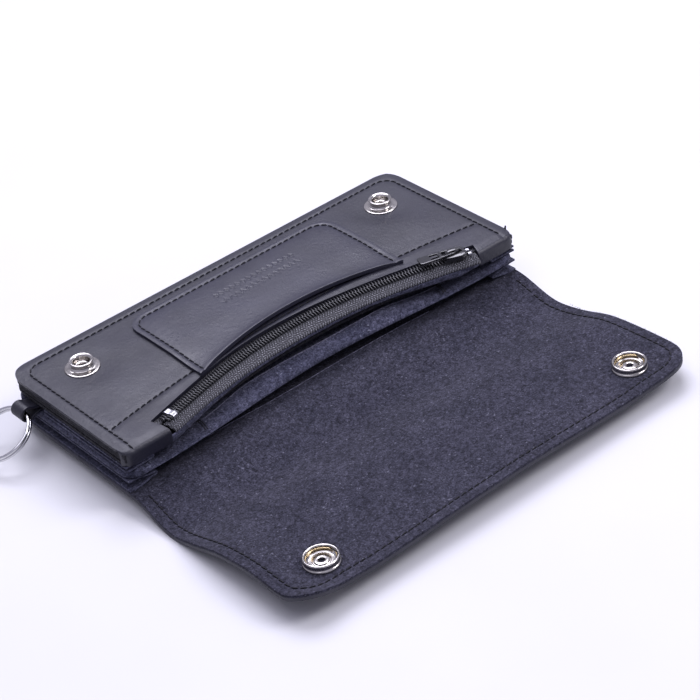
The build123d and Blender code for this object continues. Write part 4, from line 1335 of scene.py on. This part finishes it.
pull = Parts()
pull.add(*loop_plate(box_outline(-5.9, 0.42, 2.3, 1.75, 1.0), box_outline(-4.9, -0.42, 1.35, 0.95, 0.5),
                     PULL_LOW, PULL_HIGH))
pull.add(*loop_plate(box_outline(-11.2, -5.3, 2.5, 2.3, 0.8), box_outline(-9.9, -6.3, 1.5, 1.35, 0.5),
                     PULL_LOW + 0.03, PULL_HIGH - 0.03))
pull.add(*plate(box_outline(-14.4, -9.7, 2.45, 2.5, 1.0), PULL_LOW, PULL_HIGH, 0.05))
puller = pull.make("puller_tab", ENAMEL, bevel=0.16, segments=3, sharp=50)
fasten(puller, "puller", "zip_metal", "zip_puller")

# ---- snaps -------------------------------------------------------------------------------------
# Half sections as (radius, height).
STUD = [(6.7, 0.0), (6.72, 0.2), (6.6, 0.42), (6.1, 0.5), (4.9, 0.52), (4.3, 0.72), (3.95, 1.2),
        (3.85, 1.75), (4.0, 2.25), (4.4, 2.6), (4.6, 2.85), (4.55, 3.1), (4.25, 3.28), (3.8, 3.25),
        (3.3, 3.0), (3.0, 2.5), (2.85, 1.5), (2.75, 0.75), (2.4, 0.55), (2.2, 0.5), (2.2, 0.0)]
POST_TOP = [(2.05, 0.0), (2.1, 1.0), (2.55, 0.95), (2.68, 1.2), (2.4, 1.5), (1.9, 1.5), (1.45, 1.3),
            (1.25, 0.8), (1.2, 0.0), (1.2, -1.7), (4.9, -1.75), (4.9, -1.42), (2.05, -1.4)]
SOCKET = [(6.68, 0.0), (6.7, 0.35), (6.55, 0.75), (6.25, 0.95), (6.2, 1.6), (6.4, 2.2), (6.4, 2.6),
          (6.1, 2.92), (5.7, 2.9), (5.42, 2.6), (5.4, 2.3), (5.72, 2.12), (5.75, 1.3), (5.6, 0.95),
          (5.0, 0.75), (4.6, 0.45), (3.4, 0.4), (3.0, 0.62), (2.6, 0.65), (2.3, 0.4), (2.2, 0.0)]
CAP = [(1.2, 0.9), (1.25, 1.05), (1.7, 1.18), (2.4, 1.1), (2.75, 0.9), (2.6, 0.72), (2.12, 0.7),
       (2.05, -2.38), (7.2, -2.42), (7.5, -2.7), (7.35, -3.1), (6.4, -3.75), (4.4, -4.4),
       (2.2, -4.64), (0.03, -4.7), (0.03, -3.9), (1.0, -3.85), (1.2, -3.6)]
STUD_STRETCH = 1.09
SPRING_H, SPRING_R, SPRING_W = 1.7, 5.3, 0.33


def finer(profile):
    """Closed profile with its corners softened."""
    p = np.array(profile)
    for _ in range(2):
        q = 0.75 * p + 0.25 * np.roll(p, -1, 0)
        r = 0.25 * p + 0.75 * np.roll(p, -1, 0)
        p = np.stack([q, r], 1).reshape(-1, 2)
    return p


for side, stud in zip(("left", "right"), STUDS):
    on_body = (stud[0], stud[1], TOP)
    on_flap = flap_point(stud[0], SOCKET_S, 0.02)
    for name, profile, origin, up, body, node in (
            ("stud_", finer(STUD) * (1, STUD_STRETCH), on_body, UP, "body", "snap_stud_"),
            ("post_", finer(POST_TOP), on_body, UP, "body", "stud_post_"),
            ("socket_", finer(SOCKET), on_flap, FLAP_UP, "flap", "snap_socket_"),
            ("cap_", finer(CAP), on_flap, FLAP_UP, "flap", "snap_cap_")):
        fasten(make(name + side, *lathe(profile, origin, up), NICKEL), body, "nickel", node + side)
    turn = np.linspace(0.25, 2 * pi - 0.25, 73)
    flat_x = stud[0] + SPRING_R * np.cos(turn)
    flat_s = SOCKET_S + SPRING_R * np.sin(turn)
    spring = make_tube("spring_" + side, flap_point(flat_x, flat_s, SPRING_H), SPRING_W, BRASS, 10)
    fasten(spring, "flap", "spring_brass", "snap_spring_" + side)

# ---- ring and its tab --------------------------------------------------------------------------
RING_LOW, RING_HIGH = low("split_ring"), high("split_ring")
WIRE = 0.65
RING_R = (RING_HIGH[1] - RING_LOW[1]) / 2 - WIRE
ring_drop = EYE[2] - (RING_LOW[2] + RING_HIGH[2]) / 2
droop = atan2(ring_drop, sqrt(RING_R ** 2 - ring_drop ** 2))
centre = EYE + RING_R * np.array((-cos(droop), 0.0, -sin(droop)))
turns = np.linspace(0.35, 4 * pi - 0.35, 260)
spin = turns + 2.2
layer = WIRE * (2 * smooth((turns - 2 * pi + 0.3) / 0.6) - 1)
out_x, out_y = RING_R * np.cos(spin), RING_R * np.sin(spin)
ring_path = np.stack([centre[0] + out_x * cos(droop) - layer * sin(droop), centre[1] + out_y,
                      centre[2] + out_x * sin(droop) + layer * cos(droop)], -1)
ends = np.minimum(turns - turns[0], turns[-1] - turns)
ring = make_tube("ring_coil", ring_path, WIRE * (0.8 + 0.19 * smooth(ends / 0.06)), STEEL, 14)
fasten(ring, "ring", "ring_steel", "split_ring")

TAB = (low("ring_tab"), high("ring_tab"))
loop_r = (TAB[1][2] - TAB[0][2]) / 2 - 0.5
tab_path = [(TAB[1][0], EYE[2] - 0.5 + 0.05)]
tab_path += [(x, EYE[2] - 0.45) for x in (-85.0, -88.0, -91.5)]
for t in np.linspace(-radians(35), -2 * pi + radians(35), 29):
    tab_path.append((EYE[0] + loop_r * cos(t), EYE[2] + loop_r * sin(t)))
tab_path += [(x, EYE[2] + 0.6) for x in (-91.5, -88.0, -85.0)]
tab_path.append((TAB[1][0], EYE[2] + 0.6))
tab_path = softened(tab_path)
tangent = np.gradient(tab_path, axis=0)
tangent /= np.linalg.norm(tangent, axis=1, keepdims=True)
outward = np.stack([tangent[:, 1], -tangent[:, 0]], -1)
breadth = np.linspace(TAB[0][1], TAB[1][1], 9)
sides = []
for depth in (0.46, -0.46):
    edge = tab_path + outward * depth
    sides.append(np.stack(np.broadcast_arrays(edge[:, :1], breadth[None, :], edge[:, 1:]), -1))
fasten(make("ring_strap", *slab(*sides), LEATHER, bevel=0.2), "body", "grain_leather", "ring_tab")

# ---- raw edges: fibres -------------------------------------------------------------------------
rng = np.random.default_rng(7)


FIBRE_RADIUS = 0.05
FIBRE_TOP = TOP - 1.2       # the body's fibres end below the top panel


def fibre(parts, root, out, length):
    """One fine hair from a cut edge."""
    t = np.linspace(0, 1, 5)[:, None]
    wander = rng.normal(0, 1, 3) * 0.5
    path = np.array(root) + np.array(out) * length * t + wander * length * t * t * 0.6
    path[:, 2] = np.maximum(path[:, 2], 0.08)
    parts.add(*tube(path, FIBRE_RADIUS * (1 - 0.7 * t[:, 0]), sides=3))


hairs = Parts()
for _ in range(420):
    y = rng.uniform(4, REAR - REAR_RADIUS)
    z = rng.choice((rng.uniform(BASE_LOW, FIBRE_TOP), rng.uniform(DIVIDER_TOP, ROLL_TOP)), p=(0.8, 0.2))
    fibre(hairs, (-HALF + 0.3, y, z), (-1.0, 0.2 * rng.normal(), 0.15 * rng.normal()), rng.uniform(0.5, 1.3))
for _ in range(120):
    y = rng.uniform(9, REAR - REAR_RADIUS)
    z = rng.uniform(BASE_LOW, FIBRE_TOP)
    fibre(hairs, (HALF - 0.3, y, z), (1.0, 0.2 * rng.normal(), 0.15 * rng.normal()), rng.uniform(0.2, 0.5))
for _ in range(260):
    x = rng.uniform(-HALF + REAR_RADIUS, HALF - REAR_RADIUS)
    fibre(hairs, (x, REAR - 0.3, rng.uniform(BASE_LOW, FIBRE_TOP)),
          (0.2 * rng.normal(), 1.0, 0.15 * rng.normal()), rng.uniform(0.4, 1.0))
fasten(hairs.make("edge_fibres_body", EDGES), "body", "split_leather")
hairs = Parts()
for _ in range(320):
    side = rng.choice((-1, 1))
    s = rng.uniform(6, FLAP_LENGTH - FLAP_RADIUS)
    wave = float(flap_wave(np.array(side * HALF), np.array(s)))
    fibre(hairs, flap_point(side * (HALF - 0.25), s, wave - rng.uniform(0.1, LINING)),
          (side * 1.0, 0.2 * rng.normal(), 0.25 * rng.normal()), rng.uniform(0.4, 1.0))
fasten(hairs.make("edge_fibres_flap", SUEDE), "flap", "suede_lining")

# ---- floor, light and camera -------------------------------------------------------------------
FLOOR_Z = min(under_b[..., 2].min(), cad_bounds[0][2] / MM) - 0.05
table_mat = material("table_top", 0.55, Specular_IOR_Level=0.3)
n = Nodes(table_mat)
n.colour(n.ramp(n.noise(9.0, 3.0), (0.3, (0.555, 0.555, 0.572)), (0.7, (0.575, 0.575, 0.588))))
n.bumps((n.noise(400.0, 3.0), 0.05, 0.05))
FLOOR_HALF = 2500.0
corners = [(x * FLOOR_HALF, y * FLOOR_HALF, FLOOR_Z) for x, y in ((-1, -1), (1, -1), (1, 1), (-1, 1))]
floor = make("table", corners, [(0, 1, 2, 3)], table_mat)


LIGHT_AIM = Vector((0.0, 0.0, 0.01))


def softbox(name, azimuth, elevation, distance, width, height, power, colour):
    """Rectangular light in the direction azimuth (0 is +X, 90 is +Y), facing the wallet."""
    data = bpy.data.lights.new(name, "AREA")
    data.shape = "RECTANGLE"
    data.size, data.size_y = width, height
    data.energy = power
    data.color = colour
    lamp = bpy.data.objects.new(name, data)
    a, e = radians(azimuth), radians(elevation)
    place = LIGHT_AIM + distance * Vector((cos(a) * cos(e), sin(a) * cos(e), sin(e)))
    lamp.location = place
    lamp.rotation_euler = (LIGHT_AIM - place).to_track_quat("-Z", "Y").to_euler()
    bpy.context.scene.collection.objects.link(lamp)


softbox("window_back_right", 62, 60, 1.5, 1.1, 0.9, 24.0, (0.88, 0.87, 1.0))
softbox("fill_front_right", -38, 46, 1.3, 0.5, 0.5, 9.0, (0.95, 0.93, 1.0))
softbox("overhead", 170, 80, 1.6, 1.4, 1.4, 9.0, (0.88, 0.87, 1.0))

world = bpy.data.worlds.new("white_room")
bpy.context.scene.world = world
world.use_nodes = True
world.node_tree.nodes["Background"].inputs["Color"].default_value = (0.80, 0.79, 1.0, 1.0)
world.node_tree.nodes["Background"].inputs["Strength"].default_value = 0.55
bpy.context.scene.view_settings.view_transform = "Standard"

EYE_POINT = np.array((-388.06, -552.24, 476.47))
AZIMUTH, ELEVATION, ROLL = radians(-35.696), radians(34.49), radians(-7.874)
LENS = 115.36
back = np.array((sin(AZIMUTH) * cos(ELEVATION), -cos(AZIMUTH) * cos(ELEVATION), sin(ELEVATION)))
right = np.array((cos(AZIMUTH), sin(AZIMUTH), 0.0))
up = np.cross(back, right)
rolled_right = cos(ROLL) * right + sin(ROLL) * up
rolled_up = cos(ROLL) * up - sin(ROLL) * right
data = bpy.data.cameras.new("camera")
data.lens = LENS
data.sensor_width = 36.0
data.clip_start = 0.01
camera = bpy.data.objects.new("camera", data)
matrix = Matrix.Identity(4)
for k, axis in enumerate((rolled_right, rolled_up, back)):
    for row in range(3):
        matrix[row][k] = axis[row]
for row in range(3):
    matrix[row][3] = EYE_POINT[row] * MM
camera.matrix_world = matrix
bpy.context.scene.collection.objects.link(camera)
bpy.context.scene.camera = camera

# ---- flat() turns a width and length into metres; nothing calls it, and the as_list calls below change nothing ---
def flat(width, length):
    return (width * MM, length * MM)


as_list(cover_back)
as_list(floor)
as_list(cover_flap)
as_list(floor)
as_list(lining_back)
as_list(panel)
